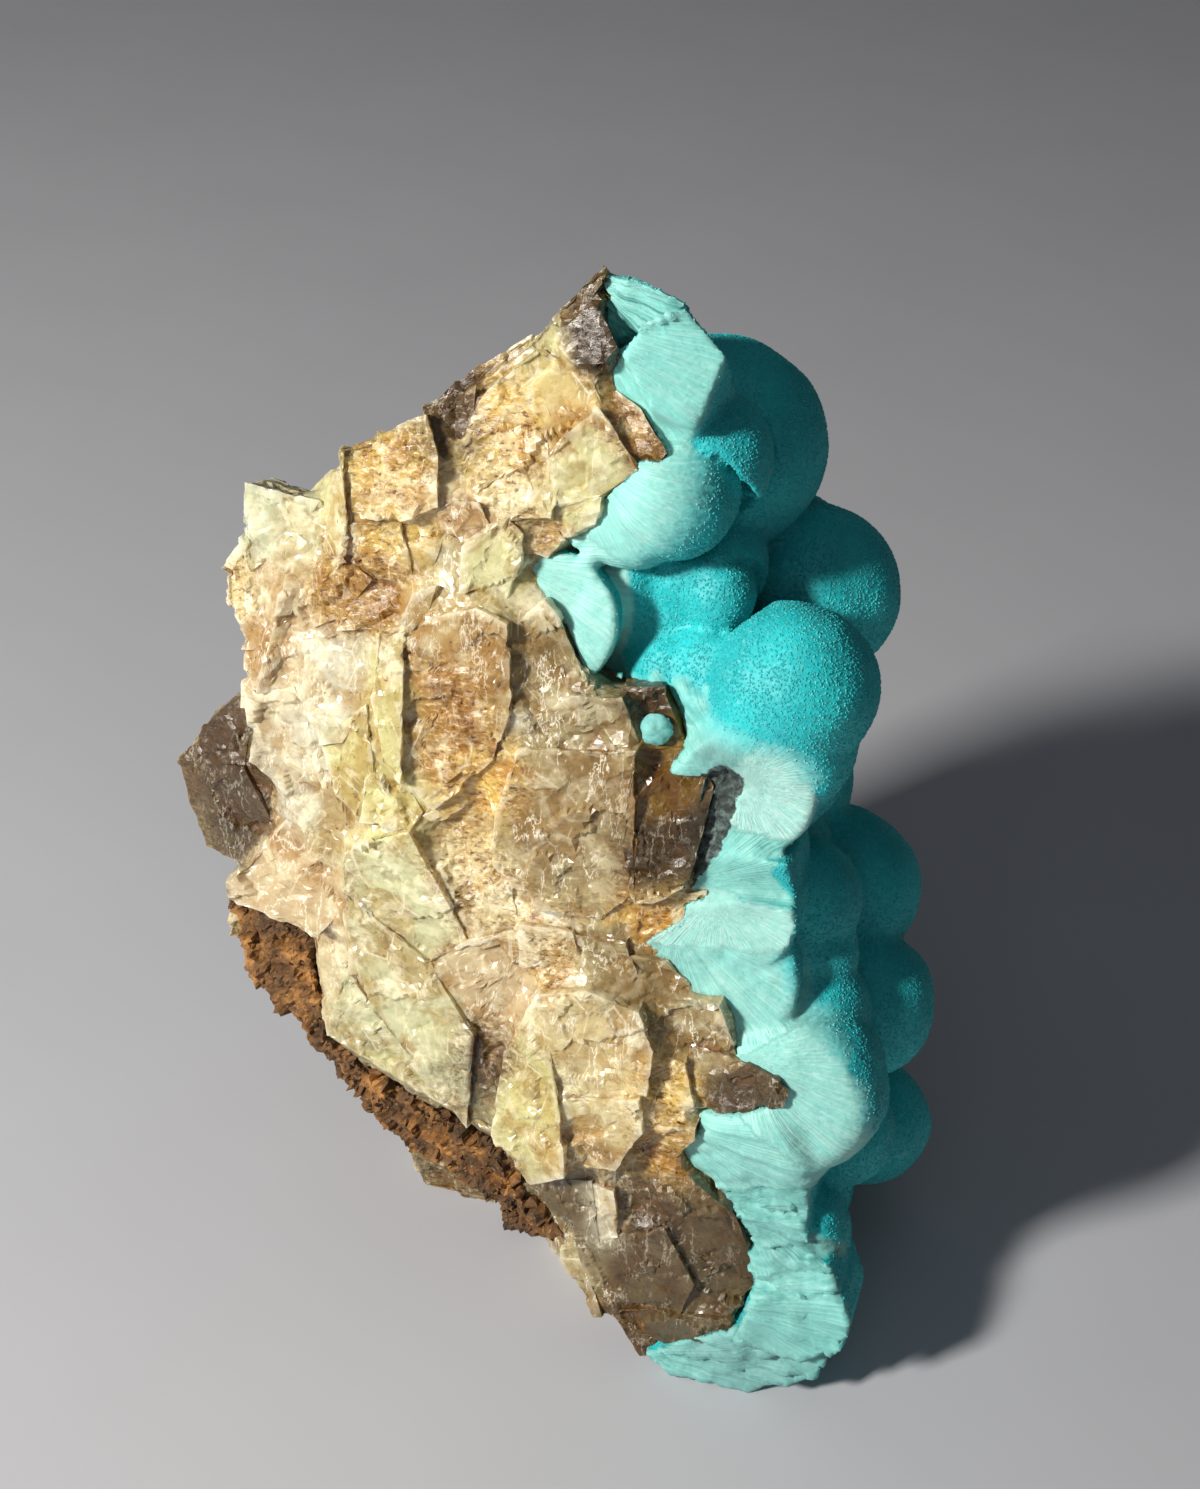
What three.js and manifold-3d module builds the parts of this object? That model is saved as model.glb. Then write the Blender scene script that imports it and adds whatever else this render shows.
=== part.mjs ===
import * as THREE from 'three';
import { ConvexGeometry } from 'three/addons/geometries/ConvexGeometry.js';
import { mergeVertices } from 'three/addons/utils/BufferGeometryUtils.js';
import Module from 'manifold-3d';

// Hemimorphite on calcite: a broken block of cream and brown calcite with a blue botryoidal crust
// grown over its right side. It stands on its broken foot. Millimetres, +Z up, the viewer at -Y.
//
// Most shapes are measured on the broken face that meets the viewer. The face leans back and its
// left side lies farther away. A place on it is [across, up, out]: across to the right, up the
// face, and out of the face towards the viewer.

// Driving dimensions, in millimetres and degrees
const FACE_LEAN = 12;
const FACE_TURN = 14;
const FACE_FOOT = new THREE.Vector3(12, -25, 0);
const GRAIN_DEPTH = 9;
const GRAIN_SPREAD = 1.1;
const BACK_SINK = 0.12;
const SINK_START = 60;
const SEAM = 0.3;
const CORNER_PUSH = 1.8;
const MERGE_DISTANCE = 0.002;
const CHAIN_OVERLAP = 0.4;
const NODULE_RADIUS = 1.75;
const NODULE_PLACE = [-13.9, 76.9, 0.6];

const wasm = await Module();
wasm.setup();

const lean = THREE.MathUtils.degToRad(FACE_LEAN);
const turn = THREE.MathUtils.degToRad(FACE_TURN);
const ACROSS = new THREE.Vector3(Math.cos(turn), -Math.sin(turn), 0);
const UP = new THREE.Vector3(0, Math.sin(lean), Math.cos(lean));
UP.applyAxisAngle(new THREE.Vector3(0, 0, 1), -turn);
const OUT = new THREE.Vector3().crossVectors(ACROSS, UP);

function place([across, up, out]) {
  const point = FACE_FOOT.clone();
  point.addScaledVector(ACROSS, across);
  point.addScaledVector(UP, up);
  point.addScaledVector(OUT, out);
  return point;
}

// Solids

function solidOf(geometry) {
  const bare = geometry.clone();
  bare.deleteAttribute('normal');
  bare.deleteAttribute('uv');
  const merged = mergeVertices(bare, 1e-4);
  const mesh = new wasm.Mesh({
    numProp: 3,
    vertProperties: new Float32Array(merged.attributes.position.array),
    triVerts: new Uint32Array(merged.index.array),
  });
  return new wasm.Manifold(mesh);
}

// The convex body around some points, with its corners pushed away from its middle by a margin
function hullOf(points, margin = 0) {
  const middle = new THREE.Vector3();
  points.forEach((point) => middle.addScaledVector(point, 1 / points.length));
  const moved = points.map((point) => {
    const push = point.clone().sub(middle).setLength(margin * CORNER_PUSH);
    return point.clone().add(push);
  });
  return solidOf(new ConvexGeometry(moved));
}

function join(solids) {
  return solids.reduce((whole, solid) => whole.add(solid));
}

// A chain of convex bodies, each between two neighbouring cross-sections of [across, out] corners.
// Each body reaches a little below its lower section, into the one under it.
function chainHulls(sections) {
  const ring = ([up, corners], drop) => corners.map(([across, out]) => place([across, up - drop, out]));
  return sections.slice(1).map((upper, i) => [...ring(sections[i], CHAIN_OVERLAP), ...ring(upper, 0)]);
}

// A grain of rock: its broken front face, tilted about its middle, and a wider back in the block.
// Near the top the back sits lower, so that the crest stays thin.
function grainPoints([, out, tiltAcross, tiltUp, outline]) {
  const middle = [0, 1].map((k) => outline.reduce((sum, corner) => sum + corner[k], 0) / outline.length);
  const front = outline.map(([across, up]) => {
    const rise = tiltAcross * (across - middle[0]) + tiltUp * (up - middle[1]);
    return place([across, up, out + rise]);
  });
  const sink = BACK_SINK * Math.max(0, middle[1] - SINK_START);
  const back = outline.map(([across, up]) => place([
    middle[0] + (across - middle[0]) * GRAIN_SPREAD,
    middle[1] + (up - middle[1]) * GRAIN_SPREAD - sink,
    out - GRAIN_DEPTH,
  ]));
  return [...front, ...back];
}

// Only the largest outer skin of a solid, without crumbs, closed bubbles and collapsed slivers.
// Triangles belong together where just the two of them share an edge.
function mainBody(solid) {
  const { vertProperties, triVerts } = solid.getMesh();
  const rough = new THREE.BufferGeometry();
  rough.setAttribute('position', new THREE.BufferAttribute(new Float32Array(vertProperties), 3));
  rough.setIndex(Array.from(triVerts));
  const geometry = mergeVertices(rough, MERGE_DISTANCE);
  const faces = [];
  for (let k = 0; k < geometry.index.count; k += 3) {
    const face = [0, 1, 2].map((side) => geometry.index.getX(k + side));
    if (new Set(face).size === 3) {
      faces.push(face);
    }
  }
  const owners = new Map();
  faces.forEach((face, k) => face.forEach((start, side) => {
    const end = face[(side + 1) % 3];
    const edge = `${Math.min(start, end)} ${Math.max(start, end)}`;
    owners.set(edge, [...(owners.get(edge) ?? []), k]);
  }));
  const leader = faces.map((_, k) => k);
  const find = (k) => {
    while (leader[k] !== k) {
      leader[k] = leader[leader[k]];
      k = leader[k];
    }
    return k;
  };
  for (const pair of owners.values()) {
    if (pair.length === 2) {
      leader[find(pair[0])] = find(pair[1]);
    }
  }
  const volumes = new Map();
  faces.forEach((face, k) => {
    const corner = (i) => new THREE.Vector3().fromBufferAttribute(geometry.attributes.position, i);
    const [a, b, c] = face.map(corner);
    volumes.set(find(k), (volumes.get(find(k)) ?? 0) + a.dot(b.cross(c)) / 6);
  });
  const main = [...volumes.keys()].reduce((best, key) => (volumes.get(key) > volumes.get(best) ? key : best));
  geometry.setIndex(faces.filter((_, k) => find(k) === main).flat());
  const whole = geometry.toNonIndexed();
  whole.computeVertexNormals();
  return whole;
}

// Everything below the table plane, where the foot is cut flat
const belowTable = solidOf(new THREE.BoxGeometry(300, 300, 60).translate(0, 0, -30));

// Calcite

// The block behind the broken face, as cross-sections from the foot to the peak
const BLOCK = [
  [-6, [[-7, -4], [6, -5], [5, -24], [-6, -43], [-30, -42], [-36, -26]]],
  [8, [[-12, -4], [2, -3], [2, -24], [-6, -43], [-33, -42], [-37, -26], [-30, -19]]],
  [20, [[-42, -13], [-15, -2], [-3, -2], [1, -22], [-6, -42], [-36, -41], [-46, -24]]],
  [31, [[-47, -4], [-7, -2], [1, -20], [-6, -40], [-38, -41], [-50, -22]]],
  [44, [[-50, -5], [-44, -2], [-8, -2], [-2, -18], [-8, -39], [-40, -39], [-52, -22]]],
  [57, [[-55, -5], [-50, -2], [-11, -2], [-7, -16], [-10, -37], [-40, -37], [-56, -18]]],
  [73, [[-56, -6], [-50, -2], [-11, -2], [-11, -14], [-13, -33], [-38, -33], [-55, -16]]],
  [80, [[-56.5, -7], [-50, -4], [-23, -2], [-27, -16], [-19, -29], [-38, -31], [-54, -16]]],
  [88, [[-56, -8], [-50, -4], [-28, -1.5], [-30, -14], [-24, -25], [-38, -27], [-52, -15]]],
  [96, [[-48, -6], [-44, -1.5], [-24, -1.5], [-26, -8], [-25, -20], [-36, -21], [-44, -13]]],
  [105, [[-36, -3], [-22, -1.5], [-21, -4], [-23, -12], [-33, -12]]],
  [112, [[-29.5, -3], [-24, -1.5], [-23.5, -5], [-28, -7]]],
  [119, [[-24.2, -1], [-23.4, -1], [-23.6, -2]]],
];

// Grains of the broken face: name, height out of the face, tilt across, tilt up, outline
const PEAK_GRAINS = [
  ['ridge rim', 0.5, 0.15, 0, [[-23, 120.5], [-23, 118.5], [-25, 115.5], [-29.5, 112], [-27, 116]]],
  ['brown cap', 2.2, 0.1, -0.3, [
    [-27, 115.5], [-23, 116], [-21, 113.5], [-22, 112], [-24.5, 111.5], [-26.5, 112.5],
  ]],
  ['pale chip', 1.2, 0.2, 0.1, [[-27.5, 115], [-25, 111.5], [-26, 109.5], [-29.5, 112]]],
  ['upper plate', 1.6, 0.03, -0.04, [
    [-28.5, 112], [-23.5, 110.5], [-22, 108], [-26.5, 102], [-35, 96.5], [-35, 102], [-33, 107.5],
  ]],
  ['left plate', 2.1, 0.05, -0.12, [
    [-35, 96.5], [-26.5, 102.5], [-25, 100.5], [-25.5, 96.5], [-30, 95.5], [-33, 97],
  ]],
  ['right plate', 2.4, -0.02, 0.1, [
    [-26.5, 102.5], [-22, 108], [-20.5, 106], [-17.5, 102.5], [-21, 99.5], [-25, 97.5],
  ]],
  ['plate tip', 1.5, 0.1, 0.2, [[-25.5, 98], [-21, 99.5], [-21.5, 96.5], [-24.5, 94.5], [-26, 96]]],
  ['plate toe', 1, -0.2, 0.1, [[-28.5, 95.5], [-26, 96], [-24.5, 94], [-26, 92], [-28.5, 92.5]]],
  ['red stub', 1.4, 0.1, -0.15, [
    [-22.5, 108.5], [-21, 109], [-18.5, 108], [-15.5, 104.5], [-18, 100.5], [-21, 101.5],
  ]],
  ['ridge foot', 0.9, 0.1, 0, [[-39, 104.5], [-34, 107.5], [-34, 96], [-37.5, 95.5]]],
  ['back ridge', -3, 0.1, -0.2, [
    [-30.5, 111.5], [-36, 107], [-40.5, 102], [-39.5, 96], [-36.5, 97], [-33, 107.5],
  ]],
];
const SHOULDER_GRAINS = [
  ['honey block', 3, 0.12, -0.05, [
    [-45.5, 100], [-38, 104.5], [-36.5, 101], [-36, 96], [-41, 93.5], [-45, 93.5],
  ]],
  ['cleavage ledge', 1.6, 0.9, 0.1, [
    [-46, 100], [-45, 92.5], [-45.5, 88.5], [-48, 85], [-49, 88], [-47, 96],
  ]],
  ['pale wedge', -4, -0.1, 0.1, [
    [-58, 92.5], [-50.5, 91.5], [-49, 89.5], [-52.5, 84.5], [-57.5, 82], [-58.5, 86],
  ]],
  ['orange knob', -6, 0.2, 0, [[-59.5, 84.5], [-57.5, 79], [-58.5, 74.5], [-61, 78], [-61.5, 81.5]]],
  ['pink shoulder', -3, 0.1, -0.1, [[-57.5, 83], [-53, 88], [-48, 86], [-49.5, 77], [-57.5, 75]]],
  ['amber left', 1, 0.2, 0.1, [[-48, 88], [-45.5, 89], [-42.5, 87], [-46, 82], [-49, 80], [-50, 82]]],
  ['amber middle', 2.2, -0.1, 0.1, [[-45, 92.5], [-40, 93.5], [-38.5, 87], [-42.5, 87], [-45, 89.5]]],
  ['amber cube', 1.4, 0.1, -0.2, [
    [-43, 90.5], [-40, 90.5], [-38.5, 86.5], [-39, 82.8], [-46, 81], [-45.5, 84],
  ]],
  ['amber right', 1.5, -0.15, 0.1, [[-41.5, 93], [-36.5, 96], [-36, 93], [-37, 89], [-38.5, 86.5]]],
  ['clear scale', 2.6, 0, 0.2, [
    [-36.5, 95.5], [-34.5, 97], [-32.5, 97], [-31, 94.5], [-33.5, 92.5], [-36, 93.5],
  ]],
  ['grey chip', 0.5, 0, 0.15, [[-36.5, 92.5], [-34, 91.5], [-34.5, 87], [-37.5, 88.5]]],
  ['blade foot', 0.2, 0.1, 0, [[-38, 90], [-33, 93.5], [-32.5, 86], [-37, 85.5]]],
  ['cream blade', 2.6, -0.2, 0.05, [
    [-33.5, 92.5], [-31.5, 95], [-29.5, 96], [-28, 94.5], [-29.5, 86], [-33.5, 88],
  ]],
  ['cream fin', 3.2, -0.3, 0, [[-38, 87], [-36, 88], [-36.5, 85], [-38, 83], [-39, 84]]],
];
const MIDDLE_GRAINS = [
  ['big brown', 3.2, 0.06, 0.08, [
    [-39, 82], [-36, 85], [-31.5, 87], [-28.5, 86], [-27.5, 78], [-29, 71], [-35, 64], [-37.5, 66],
  ]],
  ['brown edge', 1, -0.3, 0.1, [
    [-28, 78], [-27, 72.5], [-29.5, 66.5], [-34.5, 62], [-36, 63], [-30.5, 70],
  ]],
  ['yellow strip', 3.6, 0.15, 0, [
    [-41.5, 82.5], [-38.5, 83], [-38.5, 76], [-38, 67], [-40, 68.5], [-41.5, 75],
  ]],
  ['cream upper', 1, 0.15, -0.08, [
    [-50, 78.5], [-42.5, 81.5], [-42.5, 74], [-45, 69], [-47.5, 68], [-50, 72.5],
  ]],
  ['cream lower', 1.2, 0.2, 0.1, [
    [-45, 69.5], [-42.5, 74], [-41.5, 66.5], [-43.5, 60.5], [-45.5, 62.5], [-47.5, 68],
  ]],
  ['ribbed fan', 2, 0, -0.2, [[-42, 67.5], [-38.5, 66.5], [-36, 63.5], [-37, 61.5], [-42.5, 61]]],
  ['upper rubble', -3, 0.1, -0.2, [[-57.5, 75.5], [-50.5, 78.5], [-51, 75], [-54.5, 69.5], [-57, 69]]],
  ['middle rubble', -1, 0.15, 0.08, [
    [-56, 70.5], [-51, 73], [-48, 67.5], [-45, 61.5], [-44.5, 56], [-51.5, 59], [-56, 63],
  ]],
  ['lower rubble', -2, 0.1, -0.15, [
    [-58, 48], [-52, 56.5], [-46.5, 55], [-44.5, 49.5], [-47.5, 44.5], [-57.5, 46],
  ]],
  ['centre upper', 2, -0.1, 0, [
    [-28.5, 85], [-25.5, 88], [-23.5, 86], [-20.5, 80], [-23, 76.5], [-27, 75.5],
  ]],
  ['centre top', 2.5, -0.05, 0.2, [
    [-27, 75.5], [-21.5, 79.5], [-17, 80.5], [-15, 75.5], [-24.5, 72], [-27, 73],
  ]],
  ['centre facet', 2.4, 0.02, 0.1, [
    [-26.5, 73], [-15, 75.5], [-14, 59.5], [-17, 55.5], [-23, 55], [-28.5, 59], [-28.5, 65],
  ]],
  ['corner', 0.6, -0.1, 0, [[-17.5, 80.5], [-13.5, 81], [-11, 76], [-15.5, 74.5]]],
  ['amber knob', 1.8, -0.12, -0.12, [
    [-15, 75], [-10, 75.5], [-7.5, 72], [-8, 66.5], [-9, 61], [-13.5, 58.5], [-15.5, 64],
  ]],
  ['dark seam', -0.4, -0.3, 0, [[-5, 73.5], [-5, 69], [-7.5, 62.5], [-9.5, 60], [-9, 66], [-8, 72]]],
];
const LOWER_GRAINS = [
  ['rust band', 1, 0, -0.15, [
    [-37.5, 61.5], [-29.5, 63], [-27.5, 57.5], [-25, 52.5], [-29, 50], [-36, 56.5],
  ]],
  ['cream plate', 1.8, 0.08, 0.15, [
    [-44, 57], [-37, 61.5], [-36, 57], [-30.5, 50], [-34.5, 46], [-40, 48], [-44.5, 51.5],
  ]],
  ['green plate', 1.4, 0.12, 0.05, [
    [-44.5, 52], [-40, 49], [-34.5, 46.5], [-29, 39], [-29, 27], [-33.5, 31.5], [-43, 40.5],
  ]],
  ['pink plate', 1.2, -0.1, 0.1, [
    [-34.5, 46.5], [-30.5, 50], [-25, 52.5], [-22, 46], [-24.5, 42], [-28, 35], [-29.5, 39],
  ]],
  ['stained top', 2, 0, 0.2, [[-25, 53.5], [-19.5, 54], [-18, 49], [-22, 46], [-24.5, 48.5]]],
  ['grey slab left', 2, 0, 0.15, [[-19.5, 53.5], [-14, 54], [-12, 48.5], [-17.5, 47.5]]],
  ['grey slab right', 1.2, -0.2, 0.1, [[-14.5, 52.5], [-10, 52], [-6.5, 48.5], [-12, 47.5]]],
  ['brown pebble', 0.6, -0.2, 0.1, [[-13.5, 58.5], [-7, 60.5], [-7.5, 56.5], [-10, 52], [-13.5, 53.5]]],
  ['jutting block', 4.2, 0.06, 0.12, [
    [-22, 47], [-17, 49], [-11.5, 48], [-9.5, 43.5], [-10, 38], [-14.5, 34], [-19.5, 34.5],
  ]],
  ['jutting side', 3.4, 0.25, 0, [
    [-22, 46.5], [-20.5, 39], [-18.5, 33], [-17.5, 26], [-21.5, 23], [-26, 27.5], [-25.5, 38],
  ]],
  ['shadow groove', -0.5, 0, 0, [[-27, 41.5], [-24.5, 42.5], [-26, 35.5], [-29.5, 26], [-29.5, 34.5]]],
  ['jutting foot', 3.4, 0.1, 0.2, [
    [-19.5, 34.5], [-14.5, 34.5], [-10.5, 37.5], [-10, 33.5], [-12.5, 27], [-17.5, 26],
  ]],
  ['grey ledge', 1.6, 0, 0.2, [[-12, 47.5], [-4, 49], [-1.5, 43], [-5, 40], [-10, 41.5]]],
  ['glassy step', 2.2, 0.1, 0.1, [[-10, 41.5], [-6.5, 42], [-5.5, 37], [-8.5, 34.5], [-10.5, 37]]],
  ['rough spur', 0.6, -0.05, 0.2, [[-6.5, 40.5], [-1, 42.5], [4.5, 40], [3.5, 37], [-6, 34.5]]],
  ['brown underside', 1, 0.1, 0.45, [
    [-13, 26.5], [-10.5, 33], [-4.5, 35], [-4.5, 33], [-7.5, 27], [-12, 25],
  ]],
];
const FOOT_GRAINS = [
  ['white chunk', 1, 0.2, 0.1, [[-15.5, 23.5], [-12.5, 23.5], [-11.5, 17.5], [-14.5, 16], [-16.5, 19]]],
  ['grey wedge', 0.5, 0.2, 0.1, [[-22, 21.5], [-15, 24], [-16, 18.5], [-13.5, 15.5], [-18.5, 16.5]]],
  ['dark cell', -1.2, 0, -0.1, [[-13, 23.5], [-8, 25], [-6.5, 18.5], [-12, 15.5]]],
  ['right foot', 0.2, -0.1, 0.08, [
    [-8, 27], [-5, 27], [0.5, 23], [4, 14], [1, 9.5], [-4.5, 14], [-7, 19.5],
  ]],
  ['middle foot', 0.4, 0.03, 0.15, [[-16.5, 15.5], [-6.5, 20], [-3, 13.5], [-4, 8.5], [-12.5, 5.5]]],
  ['low foot', -0.3, 0.1, 0.1, [[-13, 5.5], [-4, 8.5], [1.5, 9.5], [2.5, 7], [-2.5, 3], [-8, 4]]],
  ['foot edge', -1, 0.3, 0, [[-18.5, 16], [-16.5, 15], [-12.5, 5.5], [-13.5, 5], [-18, 10.5]]],
  ['dark foot', -1.6, 0, 0, [[-12, 5.5], [-6.5, 5], [-6.5, 1.5], [-8, 0.5]]],
  ['back foot', -17, 0, 0.1, [[-41, 9], [-36, 8], [-30, 5], [-29, 1], [-34, 1], [-39, 4]]],
];
const LUMP_GRAINS = [
  ['upper lump', -6.5, 0.3, -0.1, [
    [-63, 63.5], [-59, 67.5], [-57.5, 67], [-58, 60.5], [-61.5, 57.5], [-66.5, 58],
  ]],
  ['lower lump', -6.8, 0.35, 0.15, [
    [-67, 57.5], [-61.5, 57.5], [-58, 60.5], [-53.5, 53.5], [-59, 47.5], [-63.5, 48],
  ]],
];
const GRAINS = [
  ...PEAK_GRAINS,
  ...SHOULDER_GRAINS,
  ...MIDDLE_GRAINS,
  ...LOWER_GRAINS,
  ...FOOT_GRAINS,
  ...LUMP_GRAINS,
];

// Cleavage rhombs that step out of the back and the hidden left side: centre [x, y, z], size, turn
const RHOMB_LEAN = 0.27;
const RHOMBS = [
  [[-30, 12, 76], [14, 12, 12], 20],
  [[-22, 18, 74], [14, 12, 13], -12],
  [[-10, 20, 62], [15, 12, 14], 8],
  [[-32, 17, 60], [16, 13, 15], 28],
  [[-34, 15, 49], [12, 12, 12], -20],
  [[-14, 24, 46], [17, 12, 15], -6],
  [[-34, 20, 38], [16, 13, 17], 14],
  [[-6, 23, 30], [16, 13, 14], 24],
  [[-24, 23, 22], [17, 12, 16], -16],
  [[-9, 19, 10], [18, 12, 22], 6],
  [[-10, 18, 88], [9, 8, 9], 32],
];

function rhombPoints([[x, y, z], [width, depth, height], degrees]) {
  const heading = THREE.MathUtils.degToRad(degrees);
  const points = [];
  for (const i of [-0.5, 0.5]) {
    for (const j of [-0.5, 0.5]) {
      for (const k of [-0.5, 0.5]) {
        const corner = new THREE.Vector3(i * width + k * height * RHOMB_LEAN, j * depth, k * height);
        corner.x += j * depth * RHOMB_LEAN;
        corner.applyAxisAngle(new THREE.Vector3(0, 0, 1), heading);
        points.push(corner.add(new THREE.Vector3(x, y, z)));
      }
    }
  }
  return points;
}

// Brown rind of iron-stained wall rock on the lower left

const RIND_BLOCK = [
  [12, [[-40, -14], [-30, -9], [-32, -30], [-44, -28], [-46, -20]]],
  [20, [[-48, -12], [-32, -7], [-34, -32], [-48, -30], [-52, -20]]],
  [31, [[-56, -10], [-44, -6], [-42, -34], [-52, -30], [-58, -18]]],
  [42, [[-58, -8], [-48, -5], [-46, -32], [-55, -28], [-60, -16]]],
];
const RIND_GRAINS = [
  ['upper rind', -6, 0.2, 0.05, [
    [-59.5, 43.5], [-55, 44], [-50, 39], [-46, 33], [-48.5, 28], [-57, 33.5],
  ]],
  ['middle rind', -6.5, 0.1, 0.3, [
    [-50, 39], [-46, 34.5], [-42.5, 30.5], [-34, 25.5], [-34, 23], [-45.5, 22.5], [-48, 28],
  ]],
  ['lower rind', -7.5, 0.25, 0.2, [
    [-34.5, 25], [-28.5, 20], [-19.5, 10.5], [-22.5, 8.5], [-29, 12.5], [-45.5, 21.5],
  ]],
  ['rind foot', -12, 0, 0.2, [[-28.5, 11], [-22, 9], [-24, 4], [-27.5, 4]]],
];

// Hemimorphite

// The mass of the crust against the calcite, from the foot to the top dome
const CRUST_MASS = [
  [-6, [[-4, -3], [9, -3], [10, -8], [7, -26], [-6, -34]]],
  [10, [[-2, -3], [9.5, -3], [11, -8], [6, -28], [-4, -36]]],
  [22, [[-4, -3], [4, -4], [11, -13], [8, -30], [-4, -38]]],
  [36, [[-6, -3], [4, -4], [12, -15], [9, -30], [-4, -39]]],
  [50, [[-9, -3], [0, -4], [7, -17], [6, -31], [-6, -38]]],
  [62, [[-7, -4], [-2, -6], [1, -17], [-2, -31], [-8, -35]]],
  [72, [[-9, -7], [-6, -9], [-2, -17], [-4, -29], [-10, -32]]],
  [82, [[-16, -18], [-12, -18], [-5, -21], [-6, -27], [-14, -29]]],
  [98, [[-20, -8], [-16, -9], [-12, -16], [-12, -22], [-20, -23]]],
  [110, [[-21, -5], [-17, -6], [-15, -10], [-17, -14], [-22, -14]]],
];

// Domes of the crust: name, centre, radius and, where one is broken, its flat break.
// A break is [across, up, out] of its facing, and how far it lies in front of the centre.
const TOP_DOMES = [
  ['top dome', [-14.4, 100.6, -12], 10.7],
  ['inner dome', [-13.9, 102.6, -5.6], 6.6],
  ['shoulder break', [-16.4, 99.6, -2.4], 6.1, [-0.25, 0.05, 0.97], 4.3],
  ['lower break', [-18.9, 95.6, -2.2], 5.4, [-0.25, -0.1, 0.97], 3.6],
  ['recess wall', [-19.2, 82, -12], 8.6],
  ['recess knob', [-16.5, 83.5, -7.5], 5.2],
  ['recess bead', [-10.8, 87.5, -5.8], 3.6],
  ['recess back', [-13.4, 90, -10], 6.5],
  ['half disc', [-25.4, 85.7, 0], 6.8, [0, 0.05, 1], 0.6],
];
const MIDDLE_DOMES = [
  ['far dome', [-4.2, 84.6, -22], 9.2],
  ['bright dome', [-2.3, 81.3, -4.6], 8.3],
  ['second dome', [-4.6, 71.5, -9], 8.3],
  ['bright break', [-5.1, 71.9, -1.4], 7.5, [0.12, -0.12, 0.98], 2.4],
  ['valley dome', [1, 55.8, -10.5], 6.3],
  ['right dome', [3.2, 50.8, -24], 8.9],
  ['right lower dome', [8.4, 41.4, -17], 7.8],
  ['middle dome', [3.4, 44.6, -8], 6.6],
];
const LOWER_DOMES = [
  ['upper fan', [-7.2, 60.6, -1], 8.6, [0.1, 0.05, 1], 1.5],
  ['middle fan', [-6.6, 58.4, -0.6], 9, [0.05, -0.1, 1], 1.2],
  ['lower fan', [-6.2, 50.4, -1], 9.6, [0.1, 0.05, 1], 1.3],
  ['front break', [4, 38.2, -4], 9.6, [0.1, 0.02, 0.99], 6],
  ['under bulge', [1.5, 33.5, -3.9], 8.4, [-0.12, -0.5, 0.86], 5.8],
  ['under tip', [-2.5, 31.2, -2.9], 5.6, [-0.2, -0.4, 0.9], 3.6],
  ['dark dome', [10.5, 22, -24], 7.2],
  ['curtain upper', [6.2, 18.6, -6], 6.1],
  ['curtain lower', [7.9, 11, -6], 6],
];
const BACK_DOMES = [
  ['crown back', [-15, 100, -21], 7],
  ['crown back low', [-13, 91, -25], 8],
  ['nape', [-9, 83, -31], 8.5],
  ['side high back', [-6, 70, -31], 8.5],
  ['side', [-5, 62, -25], 8],
  ['side back', [-8, 57, -37], 8.5],
  ['right back', [0, 44, -35], 8.5],
  ['hip back', [5, 36, -30], 8],
  ['hip rear', [-2, 33, -39], 8.5],
  ['thigh', [8, 27, -14], 6.5],
  ['thigh back', [5, 23, -31], 7.5],
  ['heel', [3.5, 12, -24], 7],
  ['heel back', [-2, 14, -36], 9],
  ['heel under', [6.5, 4, -15], 6],
];
const FRONT_DOMES = [...TOP_DOMES, ...MIDDLE_DOMES, ...LOWER_DOMES];
const LARGE_DOME = 9.3;

// Broken slabs of the crust that have no dome left: name, height out, tilts, outline
const SLABS = [
  ['top chip', -1.8, -0.05, 0.25, [
    [-23.5, 119.5], [-20.5, 119.5], [-15.5, 118], [-16, 116], [-23, 112.5],
  ]],
  ['crown slab', 1.7, 0.12, 0.02, [
    [-20.2, 113.6], [-18.5, 116.3], [-15.1, 118.3], [-11.1, 114.4], [-12.2, 110.3], [-13.1, 107.4],
    [-17.2, 108.6],
  ]],
  ['crown side', 0.5, 0.05, 0.1, [
    [-23.5, 110.5], [-20.3, 113.8], [-17, 109.5], [-13.4, 107.2], [-14.2, 104.6], [-18, 103.5],
    [-22, 107],
  ]],
  ['foot ledge high', -0.4, 0, 0.15, [[-2.5, 25], [3.5, 28], [7.8, 24.5], [9, 20.5], [2, 19]]],
  ['foot ledge middle', 0.9, 0, 0.1, [[2, 18.6], [10.6, 19.4], [12.8, 16.5], [3.5, 15]]],
  ['foot ledge low', 1.3, 0, -0.05, [
    [3.6, 15.4], [13, 16.6], [14, 14.4], [13.8, 10.6], [10, 8.4], [2.4, 8.6],
  ]],
  ['foot tip', 0.4, 0, 0.1, [
    [-7.4, 1.9], [2.2, 7.6], [12.3, 9.6], [11.2, 4.6], [5.2, 2.4], [2.2, -1.5], [-4, 0],
  ]],
];

function domeSolid([, centre, radius, facing, ahead], detail) {
  const middle = place(centre);
  const ball = new THREE.IcosahedronGeometry(radius, detail);
  ball.rotateX(centre[0]).rotateZ(centre[1]);
  ball.translate(middle.x, middle.y, middle.z);
  const dome = solidOf(ball);
  if (facing === undefined) {
    return dome;
  }
  const normal = new THREE.Vector3();
  [ACROSS, UP, OUT].forEach((axis, k) => normal.addScaledVector(axis, facing[k]));
  normal.normalize();
  const side = 3 * radius;
  const cut = new THREE.BoxGeometry(side, side, side).translate(0, 0, side / 2 + ahead);
  cut.applyQuaternion(new THREE.Quaternion().setFromUnitVectors(new THREE.Vector3(0, 0, 1), normal));
  cut.translate(middle.x, middle.y, middle.z);
  return dome.subtract(solidOf(cut));
}

// Put together

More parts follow.
